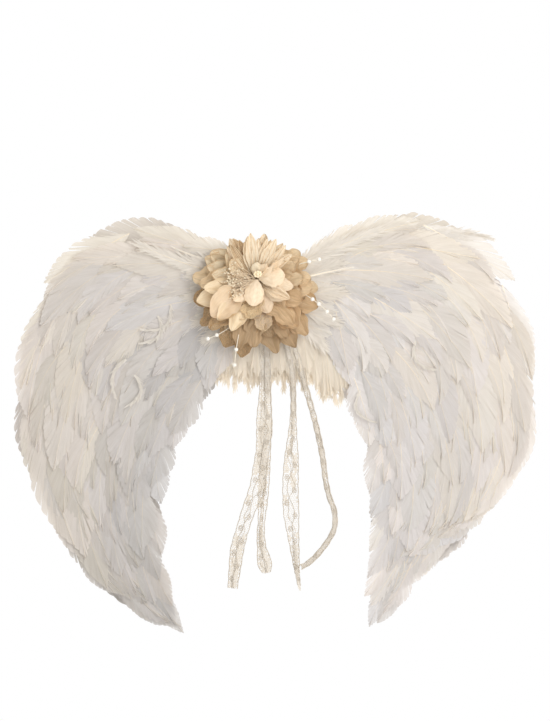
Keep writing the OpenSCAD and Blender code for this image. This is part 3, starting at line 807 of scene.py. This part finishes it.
# Petals that stand out: what is different from the rest of their ring, by number
OWN_FORM = {
    ("satin", 0): dict(heading=39, length=24, width=4.5, slot=SATIN, tint=PEACH * 1.05, tilt=(26, 14), crease=0,
                       cup=0.9, rise=12, start=1),
    ("satin", 1): dict(heading=66, length=28, width=8, tilt=(30, 8), rise=9),
    ("satin", 2): dict(heading=98, length=29, width=8.5, tilt=(30, 8), rise=9),
    ("satin", 4): dict(heading=198, length=17, width=13, tilt=(40, 5), cup=0.5, crease=0.8),
    ("satin", 5): dict(heading=211, length=30, width=20, tilt=(44, -26), cup=0.75, crease=0.9, pleats=0.9, start=7,
                       tint=PEACH * (1, 0.98, 0.97), rise=8, painted_base_shade=0.9),
    ("satin", 6): dict(heading=243, length=28, width=12, crease=0.9, pleats=1.5, tilt=(24, 4), start=7),
    ("satin", 7): dict(heading=262, length=19, width=14, slot=LACE, tint=CHAMPAGNE * 1.08, tilt=(24, 8), rise=9,
                       start=5),
    ("satin", 8): dict(heading=-24, length=22, width=8, crease=1.1, pleats=2.6, tilt=(30, 2), rise=10, tint=PEACH),
    ("chiffon", 2): dict(heading=54, length=28), ("chiffon", 3): dict(heading=83, length=29),
    ("chiffon", 4): dict(heading=112, length=29), ("chiffon", 9): dict(length=24, tint=IVORY * 0.95),
    ("chiffon", 10): dict(heading=285, length=26, width=14, tilt=(24, 6), start=6, tint=BLUSH * 1.1),
    ("lace", 13): dict(heading=318, width=19)}

# The small petals round the middle: heading, length, width, start, rise, tilt, tint, blunt
SMALL_PETALS = {
    "inner": [(8, 17, 12.5, 1.5, 15, (26, -6), PEACH * 1.06, 0.6), (-12, 19, 9, 5, 12, (24, -4), PEACH, 0.7),
              (-38, 17, 9, 5, 11, (26, 0), PEACH * 0.97, 0.7), (-70, 18, 11, 5, 10, (24, 4), BLUSH, 0.6),
              (152, 15, 9, 3, 9, (22, 10), IVORY, 0.8), (190, 14, 9, 4, 9, (22, 10), IVORY * 0.97, 0.8),
              (225, 16, 9, 5, 11, (36, 14), PEACH, 0.7)],
    "heart": [(-98, 17, 12, 0.2, 16, (22, -16), PEACH * 1.08, 0.55), (88, 11, 7, 1, 12, (35, 20), IVORY, 0.8),
              (55, 12, 6, 1, 12, (35, 15), PEACH, 0.8)]}


def make_ring(ring, first, styles, share, width, rise, tilt):
    """A ring of large petals, and the small ones that fill the gaps between them."""
    styles = styles.split()
    rng = np.random.default_rng(70 + len(styles))
    piece, trim, area = Piece(), Piece(), 0
    for k, kind in enumerate(styles):
        heading = first + k * 360 / len(styles) + rng.uniform(-3, 3)
        form = petal_styles(kind, rng)
        flat = math.cos(math.radians(sum(tilt) / 2))
        form.update(heading=heading, length=(reach_at(heading, share) - 3) / flat * rng.uniform(0.94, 1.04),
                    width=width * SLIM.get(kind, 1) * rng.uniform(0.92, 1.1), rise=rise + 0.25 * (k % 2), tilt=tilt,
                    side_bend=rng.uniform(-7, 7))
        form["tint"] = form["tint"] * rng.uniform(0.94, 1.05)
        form.update(OWN_FORM.get((ring, k), {}))
        area += petal(piece, trim, rng, **form)
    for heading in np.linspace(196, 344, LOW_FILL.get(ring, 0)):
        kind = str(rng.choice(["rose", "lace", "burlap", "beige"]))
        form = dict(petal_styles(kind, rng), heading=heading + rng.uniform(-6, 6), length=rng.uniform(13, 17),
                    width=rng.uniform(8, 11), rise=rise + 2.6, tilt=(34, -16), start=0.42 * reach_at(heading, 1),
                    side_bend=rng.uniform(-30, 30))
        form["tint"] = form["tint"] * rng.uniform(0.92, 1.14)
        area += petal(piece, trim, rng, **form)
    for heading in np.linspace(46, 130, TOP_FILL.get(ring, 0)):
        kind = "embroidered" if rng.random() < 0.25 else "upright"
        form = dict(petal_styles(kind, rng), width=rng.uniform(6, 8), heading=heading + rng.uniform(-4, 4),
                    length=(reach_at(heading, 0.9) - 1) * rng.uniform(0.95, 1.05), rise=rise + 1.2, tilt=(30, 8),
                    side_bend=rng.uniform(-6, 6))
        area += petal(piece, trim, rng, **form)
    cloth = piece.build(f"flower_{ring}_cloth", CLOTHS, "back", [f"flower_{ring}_petals"], SLOTS[ring])
    cords = trim.build(f"flower_{ring}_cords", [CORD], "back", (), SLOTS[ring])


def make_small_petals(ring, petals):
    rng = np.random.default_rng(90 + len(petals))
    piece, area = Piece(), 0
    for heading, length, width, start, rise, tilt, tint, blunt in petals:
        area += petal(piece, None, rng, heading, length, width, SATIN, tint, start=start, rise=rise, tilt=tilt,
                      cup=-0.25, crease=0.12, blunt=blunt, origin=FLOWER_AT + (0.5, 1.5), belly=1.25, painted_base_shade=0.85)
    piece.build(f"flower_{ring}_cloth", CLOTHS, "back", [f"flower_{ring}_petals"], SLOTS[ring])


def bead(piece, centre, radius, tint, slot=0):
    """A small round bead."""
    a = np.linspace(0, 2 * math.pi, 11)[:-1]
    b = np.linspace(0.05, math.pi - 0.05, 7)[:, None]
    ball = np.stack([np.sin(b) * np.cos(a), np.sin(b) * np.sin(a), np.cos(b) * np.ones(len(a))], -1)
    piece.add(ball * radius + centre, quads(numbered(len(b), len(a), closed=True)), (0.5, 0, 0), tint, slot)


def make_heart():
    """The cluster of beads in the flower's middle, and the knotted threads to its left."""
    rng = np.random.default_rng(5)
    piece = Piece()
    for k in range(9):
        away, turn = (2.0 if k else 0), k * math.radians(45)
        flat = FLOWER_AT + (1.4, 4.5) + (away * math.cos(turn), away * 0.7 * math.sin(turn))
        bead(piece, (*flat, PETAL_DEPTH + 18.5 - 0.4 * away), rng.uniform(0.8, 1.15), IVORY * (1, 0.95, 0.85))
    piece.build("flower_beads", [BEAD], "back", ["flower_bud"], "flower_centre")
    piece = Piece()
    t = np.linspace(0, 1, 7)[:, None]
    for _ in range(70):
        base = FLOWER_AT + (-2 + rng.uniform(-3, 2), rng.uniform(-3, 3))
        heading = pointing(rng.uniform(130, 235))
        end = base + rng.uniform(8, 18) * (heading * (1, 0.75))
        wobble = np.array([rng.uniform(-2, 2), rng.uniform(-2, 2)]) * np.sin(math.pi * t)
        high = PETAL_DEPTH + rng.uniform(14, 17) + rng.uniform(0, 3) * t
        line = np.concatenate([base + (end - base) * t + wobble, high], 1)
        thread(piece, line, 0.16, PEACH * rng.uniform(0.97, 1.02), 1)
        bead(piece, (*end, high[-1, 0]), rng.uniform(0.5, 0.75), IVORY * rng.uniform(0.97, 1.02), 1)
    piece.build("flower_threads", [BEAD, THREAD], "back", ["flower_core"], "flower_centre")


# ---- Lace ties ----

# Each tie's middle line, as in the CAD: right, up, how much of the lace's width shows
TIES = {
    "left_front": [(-16, 2, 0.7), (-10, -18, 0.7), (-8, -38, 0.7), (-8, -58, 0.75), (-8.5, -72, 0.95), (-8.5, -82, 1),
                   (-9.6, -94, 0.85), (-11.5, -107, 0.9), (-13, -118, 1), (-18.5, -132, 0.85), (-22, -143, 0.8),
                   (-25.5, -156, 0.85), (-27, -168, 0.75), (-28.5, -181, 0.6)],
    "left_rear": [(-17, 2, 0.6), (-11, -18, 0.6), (-8, -38, 0.6), (-7.5, -58, 0.6), (-7.5, -75, 0.7), (-8, -95, 0.7),
                  (-8.5, -112, 0.65), (-9.5, -127, 0.6), (-10.3, -138, 0.45), (-10.8, -147, 0.5), (-10, -156, 0.6),
                  (-8.5, -164, 0.9), (-7, -171, 0.55)],
    "right_front": [(-7, 2, 0.4), (2, -18, 0.4), (7, -36, 0.4), (9, -48, 0.4), (9.6, -62, 0.35), (9.5, -74, 0.4),
                    (9, -86, 0.6), (8.4, -100, 0.9), (7.8, -116, 1), (8.2, -132, 1), (9.4, -146, 0.75),
                    (10.9, -160, 0.5), (12.2, -172, 0.3), (13.8, -183, 0.1)],
    "right_rear": [(-3, 2, 0.4), (7, -20, 0.4), (12, -36, 0.4), (15.8, -50, 0.38), (21, -68, 0.35), (25, -84, 0.35),
                   (28, -99, 0.35), (29.6, -112, 0.33), (32, -123, 0.3), (35.2, -132, 0.3), (35.4, -142, 0.3),
                   (31.8, -150, 0.3), (25, -159, 0.3), (18.5, -165, 0.3), (13.5, -167.5, 0.3)]}
# How far from each end the lace is close-worked
TIE_SOLID = {"left_front": (112, 34), "left_rear": (60, 30), "right_front": (84, 30), "right_rear": (60, 60)}
TIE_DEPTH = {"front": 18.1, "rear": 17.2}
LACE_WIDTH = 10.0
CELL = 1.45                     # from one hole of the lace to the next
ROW_RATIO, ROOT_3 = 0.866, 1.732    # between rows of holes, as a share of a cell; and for the holes' corners


def ribbon(route, depth, rng):
    """A function that puts flat lace (length along, distance across) on a tie's folded surface, and its length."""
    fine = spline(route, np.linspace(0, 1, 300))
    run = np.concatenate([[0], np.cumsum(np.linalg.norm(np.diff(fine[:, :2], axis=0), axis=1))])
    tangent = np.gradient(fine[:, :2], run, axis=0)
    tangent /= np.linalg.norm(tangent, axis=1)[:, None]
    phase = rng.uniform(0, 6.28)

    def surface(u, v):
        x, z, share = (np.interp(u, run, fine[:, k]) for k in range(3))
        tx, tz = (np.interp(u, run, tangent[:, k]) for k in range(2))
        s = v / (LACE_WIDTH / 2)
        # Where less than the whole width shows, the lace is folded in three, one part over the next
        crease = np.clip(1 - share, 0, 2 / 3) / 2
        back, over = s + crease, s - crease
        out = s - (np.sqrt(back ** 2 + 0.003) - np.sqrt(over ** 2 + 0.003))
        out = np.clip(out, -share, share) * LACE_WIDTH / 2
        layer = 0.5 * (np.tanh(back / 0.08) + np.tanh(over / 0.08)) * smooth(crease / 0.06)
        height = 0.45 * layer + 0.5 * np.sin(u / 17 + phase) + 0.3 * np.sin(u / 5.3 + phase * 2) * s
        return np.stack([x - tz * out, z + tx * out, depth + height], -1)

    return surface, run[-1]


def lace(piece, trim, surface, length, solid_until, solid_end, end):
    """A length of openwork lace: a net of six-sided holes, and its trim of corded edges and scrolling motifs. end
    says which points are kept."""
    columns = int(LACE_WIDTH / CELL)
    number, corners, faces = {}, [], []

    def corner(u, v):
        key = (round(u, 2), round(v, 2))
        if key not in number:
            number[key] = len(corners)
            corners.append((u, v))
        return number[key]

    for i in range(int(length / (CELL * ROW_RATIO))):
        for j in range(columns + 1):
            u = (i + 0.5) * CELL * ROW_RATIO
            v = (j - columns / 2 + 0.5 * (i % 2)) * CELL - CELL / 4
            if abs(v) > LACE_WIDTH / 2 - 0.3 or not end(u, v):
                continue
            motif = math.sin(u / 3.6) * math.cos(v * 0.75 + 1.4 * math.sin(u / 7)) + 0.5 * math.sin(u / 13)
            close = u < solid_until or u > length - solid_end or motif > 0.35
            hole = (0.2 if motif > -0.4 else 0.5) if close else 0.82
            turns = [math.radians(60 * k + 30) for k in range(6)]
            outer, inner = ([(u + r * math.sin(a), v + r * math.cos(a)) for a in turns]
                            for r in (CELL / ROOT_3, hole * CELL / ROOT_3))
            ring = [corner(*at) for at in outer]
            start = len(corners)
            corners += inner
            faces += [[ring[k], ring[(k + 1) % 6], start + (k + 1) % 6, start + k] for k in range(6)]
    u, v = np.array(corners).T
    piece.add(surface(np.clip(u, 0, length), v), faces, vane_of(u / 10, v / 5), LACE_TINT)

    def cord(u, v, radius):
        keep = (u >= 0) & (u <= length) & np.array([end(a, b) for a, b in zip(u, v)])
        if keep.sum() > 3:
            thread(trim, surface(u[keep], v[keep]) + (0, 0, 0.15), radius, LACE_TINT * (0.93, 0.9, 0.86))

    run = np.arange(0, length, 1.0)
    for side in (-1, 1):
        cord(run, side * (LACE_WIDTH / 2 - 0.45 + 0.35 * np.abs(np.sin(run / 2.4))), 0.3)
    cord(run, 2.1 * np.sin(run / 5.2), 0.24)
    cord(run, -2.3 * np.sin(run / 5.2 + 0.5) + 0.8 * np.sin(run / 2.1), 0.2)
    q = np.linspace(0, 2 * math.pi, 13)
    for k in range(int(length / 8)):
        u0, v0 = 8 * k + 4, (2.4 if k % 2 else -2.4)
        cord(u0 + 1.7 * np.cos(q), v0 + 1.3 * np.sin(q), 0.2)
        cord(u0 + 0.75 * np.cos(q), v0 + 0.6 * np.sin(q), 0.24)


def make_tie(name, route):
    side, layer = name.split("_")
    surface, length = ribbon(route, TIE_DEPTH[layer], np.random.default_rng(len(name) + len(route)))
    piece, trim = Piece(), Piece()
    pointed = name == "right_front"
    lace(piece, trim, surface, length, *TIE_SOLID[name], lambda u, v: not pointed or u < length - 2.5 * abs(v))
    tie = piece.build(f"{name}_lace", [LACE_NET], None, [f"{name}_tie", f"{side}_tie_tops"], "lace")
    cords = trim.build(f"{name}_lace_cords", [LACE_CORD], None, (), "lace")
    for thing in (tie, cords):
        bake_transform(thing)


# ---- The wearer's side ----

PAD_SCALES = np.array([0.02, 0.25, 0.5, 0.66, 0.78, 0.81, 0.84, 0.87, 0.9, 0.95, 0.98, 1.0])
PAD_SEAM = 0.84                 # where a pad's seam runs, as a share of its outline


def closed_outline(width, height, power):
    """A rounded rectangle about the origin."""
    a = np.linspace(0, 2 * math.pi, 72, endpoint=False)
    return np.stack([np.sign(c) * np.abs(c) ** (2 / power) * size / 2
                     for c, size in ((np.cos(a), width), (np.sin(a), height))], 1)


def pad(piece, centre, outline, rear, front, tint, groove=0.5):
    """A flat stuffed pad with soft edges and a sewn seam that pulls it in."""
    half = ((front - rear) / 2 * (1 - PAD_SCALES ** 9) ** (1 / 3)
            - groove * np.exp(-((PAD_SCALES - PAD_SEAM) / 0.025) ** 2))
    around = [(scale, -h) for scale, h in zip(PAD_SCALES, half)]
    around += [(scale, -h) for scale, h in around[-2::-1]]
    grid = np.stack([at_depth(centre + outline * scale, (rear + front) / 2 + h) for scale, h in around])
    index = numbered(*grid.shape[:2], closed=True)
    faces = quads(index) + [index[0, :-1].tolist(), index[-1, :-1][::-1].tolist()]
    piece.add(grid, faces, vane_of(np.linspace(0, 1, len(grid)).repeat(len(outline))), tint)


def stitches(piece, line, length, gap, radius):
    """Short stitches along a line of points."""
    line = np.asarray(line, float)
    run = np.concatenate([[0], np.cumsum(np.linalg.norm(np.diff(line, axis=0), axis=1))])
    at = 0.0
    while at + length < run[-1]:
        u = np.linspace(at, at + length, 5)
        points = np.stack([np.interp(u, run, line[:, k]) for k in range(3)], 1)
        thread(piece, points, radius * np.array([0.4, 1, 1, 1, 0.4]), THREAD_TINT, 1)
        at += length + gap


def slab(piece, grid, rear, front):
    """A sheet of felt over a rows x columns grid of flat points, between two depths."""
    both = np.stack([at_depth(grid, rear), at_depth(grid, front)])
    index = numbered(*both.shape[:3])
    edge = np.concatenate([index[:, 0, :], index[:, 1:, -1], index[:, -1, -2::-1], index[:, -2::-1, 0]], 1)
    piece.add(both, quads(index[0][:, ::-1]) + quads(index[1]) + quads(edge),
              vane_of(both[..., 0] / 40, both[..., 1] / 40), FELT_TINT)


def make_back_pad():
    piece = Piece()
    centre = np.array([0.0, -5.0])
    outline = closed_outline(35, 58, 5)
    pad(piece, centre, outline, 0.15, 6.0, FELT_TINT)
    for depth in (0.55, 5.6):
        seam = at_depth(centre + outline * PAD_SEAM, depth)
        stitches(piece, np.concatenate([seam, seam[:1]]), 2.4, 1.4, 0.22)
    for x in (-7, 0, 7):
        stitches(piece, [(x, z, 0.12) for z in np.linspace(-27, 17, 40)], 2.4, 1.6, 0.2)
    piece.build("back_pad_felt", [FELT, THREAD], "back", ["back_pad"], "pad_felt")


def make_flower_felt():
    piece = Piece()
    pad(piece, FLOWER_AT, closed_outline(30, 30, 2), 18.65, PETAL_DEPTH, IVORY * (0.92, 0.86, 0.76), groove=0.1)
    disc = piece.build("flower_felt_disc", [FELT], "back", ["flower_base_felt"], "flower_felt")


def make_lining(side):
    """The felt behind a wing's board, softly rippled and hemmed with stitches."""
    piece = Piece()
    t = np.linspace(0, 0.84, 44)
    grid = np.stack([flow(side, f, t) for f in np.linspace(0.13, 0.89, 16)], 1)
    grid[..., 0] = SIDES[side] * np.maximum(np.abs(grid[..., 0]), 27)
    ripple = 0.08 * np.sin(grid[..., 0] / 4.1) * np.sin(grid[..., 1] / 5.3)
    slab(piece, grid, 6.08 + ripple, 6.82 + ripple)
    hem = np.concatenate([grid[1:-1, 1] * 0.6 + grid[1:-1, 0] * 0.4, grid[-2, 2:-2],
                          (grid[1:-1, -2] * 0.6 + grid[1:-1, -1] * 0.4)[::-1]])
    stitches(piece, at_depth(hem, 6.0), 2.4, 1.8, 0.18)
    lining = piece.build(f"{side}_lining_felt", [FELT, THREAD], f"{side}_wing", [f"{side}_wing_lining"], "felt")


def make_tabs(side):
    """Felt saddles over the wire, stitched down at both ends."""
    piece = Piece()
    solids = cad_solids(f"{side}_wire_tabs")
    for points in solids:
        flat = points[:, :2]
        centre = (flat.max(0) + flat.min(0)) / 2
        long_way = np.linalg.svd(flat - flat.mean(0))[2][0]
        wire_way = np.array([-long_way[1], long_way[0]])
        u, v = np.linspace(-5, 5, 7), np.linspace(-8, 8, 21)
        grid = centre + u[:, None, None] * wire_way + v[None, :, None] * long_way
        slab(piece, grid, 5.15 - 1.25 * np.exp(-(v / 2.3) ** 4), 6.03)
        for end in (-6.4, 6.4):
            line = centre + np.linspace(-4.2, 4.2, 12)[:, None] * wire_way + end * long_way
            stitches(piece, at_depth(line, 5.08), 1.9, 1.1, 0.18)
    tabs = piece.build(f"{side}_felt_tabs", [FELT, THREAD], f"{side}_wing", [f"{side}_wire_tabs"], "felt")


def make_casing(side):
    """A folded strip of cotton round the wire's upright side, its two ends sewn together as a flap."""
    sign, low = SIDES[side], -23.5 + (RIGHT_LIFT if side == "right" else 0)
    turn = np.radians(np.linspace(0, 262, 24))
    path = np.concatenate([
        [(x, 6.84) for x in np.linspace(9.3, 20.6, 12)],
        np.stack([22 + 1.48 * np.sin(turn), 5.2 + 1.48 * np.cos(turn)], 1),
        [(x, 6.3) for x in np.linspace(20.0, 9.3, 12)]])
    z = np.linspace(low + 0.1, low + 31.9, 40)[:, None]
    step = np.arange(len(path))
    pucker = np.abs(0.06 * np.sin(z * 2.1) * np.sin(step * 0.9))
    points = np.stack(np.broadcast_arrays(sign * path[:, 0], z, path[:, 1] - pucker), -1)
    piece = Piece()
    piece.add(points, quads(numbered(*points.shape[:2])), vane_of(step / 10, z / 10), FELT_TINT * 1.02)
    stitches(piece, [(sign * 19.2, h, 6.2) for h in z[:, 0]], 2.0, 1.2, 0.16)
    casing = piece.build(f"{side}_casing_cotton", [COTTON, THREAD], "back", [f"{side}_hinge_casing"], "casing_cotton")


def dress_cad_nodes():
    """Detailed materials on the CAD pieces that are shown as they are."""
    for name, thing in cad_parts.items():
        for ending, material in CAD_MATERIALS.items():
            if name.endswith(ending):
                thing.data.materials.clear()
                thing.data.materials.append(material)


# ---- Materials ----

RAMP_AT = (0.3, 0.7)


def new_material(name, roughness, **values):
    """A material and its Principled shader, with the shader's inputs set by name."""
    material = bpy.data.materials.new(name)
    material.use_nodes = True
    shader = material.node_tree.nodes["Principled BSDF"]
    for socket, value in dict(values, Roughness=roughness).items():
        shader.inputs[socket.replace("_", " ")].default_value = value
    return material, material.node_tree, shader


def attribute(tree, name, output):
    made = tree.nodes.new("ShaderNodeAttribute")
    made.attribute_name = name
    return made.outputs[output]


def noise(tree, vector, scale, detail):
    mapping = node(tree, "ShaderNodeMapping", Vector=vector, Scale=scale)
    return node(tree, "ShaderNodeTexNoise", Vector=mapping.outputs[0], Scale=1, Detail=detail).outputs["Fac"]


def streaks(tree, along, across, detail):
    """Noise in a piece's own vane coordinates, with its fineness along and across."""
    return noise(tree, attribute(tree, "vane", "Vector"), (along, across, 37), detail)


def ramp(tree, value, low, high):
    """A blend of two greys or colours by a value."""
    made = node(tree, "ShaderNodeValToRGB", Fac=value)
    for element, colour, position in zip(made.color_ramp.elements, (low, high), RAMP_AT):
        element.color = (*np.broadcast_to(colour, 3).tolist(), 1)
        element.position = position
    return made.outputs["Color"]


def paint(tree, shader, *shades):
    """Makes the tint, multiplied by each of the shades, the base colour."""
    colour = attribute(tree, "tint", "Color")
    for shade in shades:
        mix = tree.nodes.new("ShaderNodeMix")
        mix.data_type = "RGBA"
        mix.blend_type = "MULTIPLY"
        mix.inputs["Factor"].default_value = 1
        tree.links.new(colour, mix.inputs[6])
        tree.links.new(shade, mix.inputs[7])
        colour = mix.outputs[2]
    tree.links.new(colour, shader.inputs["Base Color"])
    return colour


def bump(tree, shader, height, distance, strength):
    made = node(tree, "ShaderNodeBump", Height=height, Distance=distance * MM, Strength=strength)
    tree.links.new(made.outputs[0], shader.inputs["Normal"])


def translucent(tree, shader, colour, share):
    """Lets some light through a thin piece."""
    through = node(tree, "ShaderNodeBsdfTranslucent", Color=colour)
    tree.links.new(mix_shaders(tree, share, shader, through), tree.nodes["Material Output"].inputs["Surface"])


def feather_material(name, share, low, relief):
    material, tree, shader = new_material(name, 0.62, Sheen_Weight=0.25, Sheen_Roughness=0.4)
    fine, broad = streaks(tree, 95, 2.2, 4), streaks(tree, 16, 1.3, 2)
    colour = paint(tree, shader, ramp(tree, fine, low, 1), ramp(tree, broad, (0.93, 0.92, 0.9), 1))
    bump(tree, shader, fine, 0.35, relief)
    translucent(tree, shader, colour, share)
    return material


def cloth_material(name, roughness, weave, depth, share, low, sheen=0.3):
    """Cloth or cord: the tint with a weave and slow mottling, and some light coming through."""
    material, tree, shader = new_material(name, roughness, Sheen_Weight=sheen, Sheen_Roughness=0.35)
    threads, mottle = streaks(tree, *weave, 2), streaks(tree, 7, 4, 3)
    colour = paint(tree, shader, ramp(tree, threads, low, 1), ramp(tree, mottle, (0.88, 0.84, 0.77), 1))
    bump(tree, shader, threads, depth, 0.7)
    translucent(tree, shader, colour, share)
    return material


def plain_material(name, roughness, grain, low, **values):
    """A quill or bead: the tint with a little grain."""
    material, tree, shader = new_material(name, roughness, **values)
    paint(tree, shader, ramp(tree, streaks(tree, *grain), low, 1))
    return material


def solid_material(name, roughness, grain, low, high, depth, **values):
    """A CAD piece's material: two tones of grain over object coordinates in millimetres."""
    material, tree, shader = new_material(name, roughness, **values)
    place_in = node(tree, "ShaderNodeTexCoord").outputs["Object"]
    pattern = noise(tree, place_in, [g / MM for g in grain], 4)
    tree.links.new(ramp(tree, pattern, low, high), shader.inputs["Base Color"])
    bump(tree, shader, pattern, depth, 0.5)
    return material


FEATHER = feather_material("feather", 0.3, 0.94, 0.45)
PLUME = feather_material("plume", 0.4, 0.96, 0.2)
QUILL = plain_material("quill", 0.35, (30, 8, 2), (0.95, 0.9, 0.82), Coat_Weight=0.15)
BEAD = plain_material("bead", 0.22, (3, 3, 1), 0.94, Coat_Weight=0.6, Coat_Roughness=0.12, Sheen_Weight=0.2)
CLOTHS = [
    cloth_material("satin", 0.38, (4.5, 10.5), 0.15, 0.15, 0.92, sheen=0.15),
    cloth_material("chiffon", 0.6, (5, 18), 0.5, 0.3, 0.78),
    cloth_material("net", 0.7, (60, 30), 0.3, 0.2, 0.85),
    cloth_material("burlap", 0.85, (36, 18), 0.9, 0.15, 0.5),
    cloth_material("petal_lace", 0.75, (44, 22), 0.7, 0.25, 0.66)]
CORD = cloth_material("cord", 0.7, (60, 21), 0.15, 0.0, 0.85)
THREAD = cloth_material("thread", 0.7, (60, 21), 0.15, 0.1, 0.9)
LACE_NET = cloth_material("lace_net", 0.7, (60, 21), 0.15, 0.25, 0.88)
LACE_CORD = cloth_material("lace_cord", 0.7, (60, 21), 0.2, 0.1, 0.85)
FELT = cloth_material("felt", 0.9, (120, 120), 0.4, 0.05, 0.84, sheen=0.5)
COTTON = cloth_material("cotton", 0.85, (160, 160), 0.2, 0.1, 0.85)
CAD_MATERIALS = {
    "board": solid_material("board", 0.8, (0.5, 0.5, 0.08), (0.62, 0.5, 0.34), (0.74, 0.62, 0.45), 0.2),
    "wire_frame": solid_material("wire", 0.3, (0.3, 0.3, 0.3), (0.62, 0.6, 0.56), (0.74, 0.72, 0.68), 0.05,
                                 Metallic=1.0),
    "pearl_stems": solid_material("stem", 0.4, (1, 1, 1), (0.85, 0.78, 0.64), (0.92, 0.86, 0.74), 0.05),
    "pearls": solid_material("pearl", 0.2, (0.4, 0.4, 0.4), (0.93, 0.88, 0.78), (0.97, 0.94, 0.88), 0.02,
                             Coat_Weight=0.8, Coat_Roughness=0.1, Sheen_Weight=0.3)}


def make_floor():
    corners = [(x * FLOOR_HALF, FLOOR_HEIGHT, z * FLOOR_HALF) for x, z in ((-1, -1), (1, -1), (1, 1), (-1, 1))]
    piece = Piece()
    piece.add(corners, [[0, 1, 2, 3]], (0, 0, 0), (0.9, 0.9, 0.9))
    material, tree, shader = new_material("floor", 0.8)
    tree.links.new(ramp(tree, streaks(tree, 400, 400, 2), 0.86, 0.9), shader.inputs["Base Color"])
    floor = piece.build("floor", [material], None)


make_camera()
make_studio()
make_floor()
for side, sign in SIDES.items():
    for row in range(1, FRONT_ROWS + 1):
        make_front_feathers(side, sign, row)
    for row in range(1, REAR_ROWS + 1):
        make_rear_feathers(side, sign, row)
down_rng = make_centre_down()
for side, sign in SIDES.items():
    make_root_down(side, sign, down_rng)
for side, sign in SIDES.items():
    make_top_plumes(side, sign)
for side in SIDES:
    make_wisps(side)
make_accent_plumes()
for ring, form in RINGS.items():
    make_ring(ring, *form)
for ring, petals in SMALL_PETALS.items():
    make_small_petals(ring, petals)
make_heart()
for name, route in TIES.items():
    make_tie(name, route)
make_back_pad()
make_flower_felt()
for side in SIDES:
    make_lining(side)
    make_tabs(side)
    make_casing(side)
dress_cad_nodes()
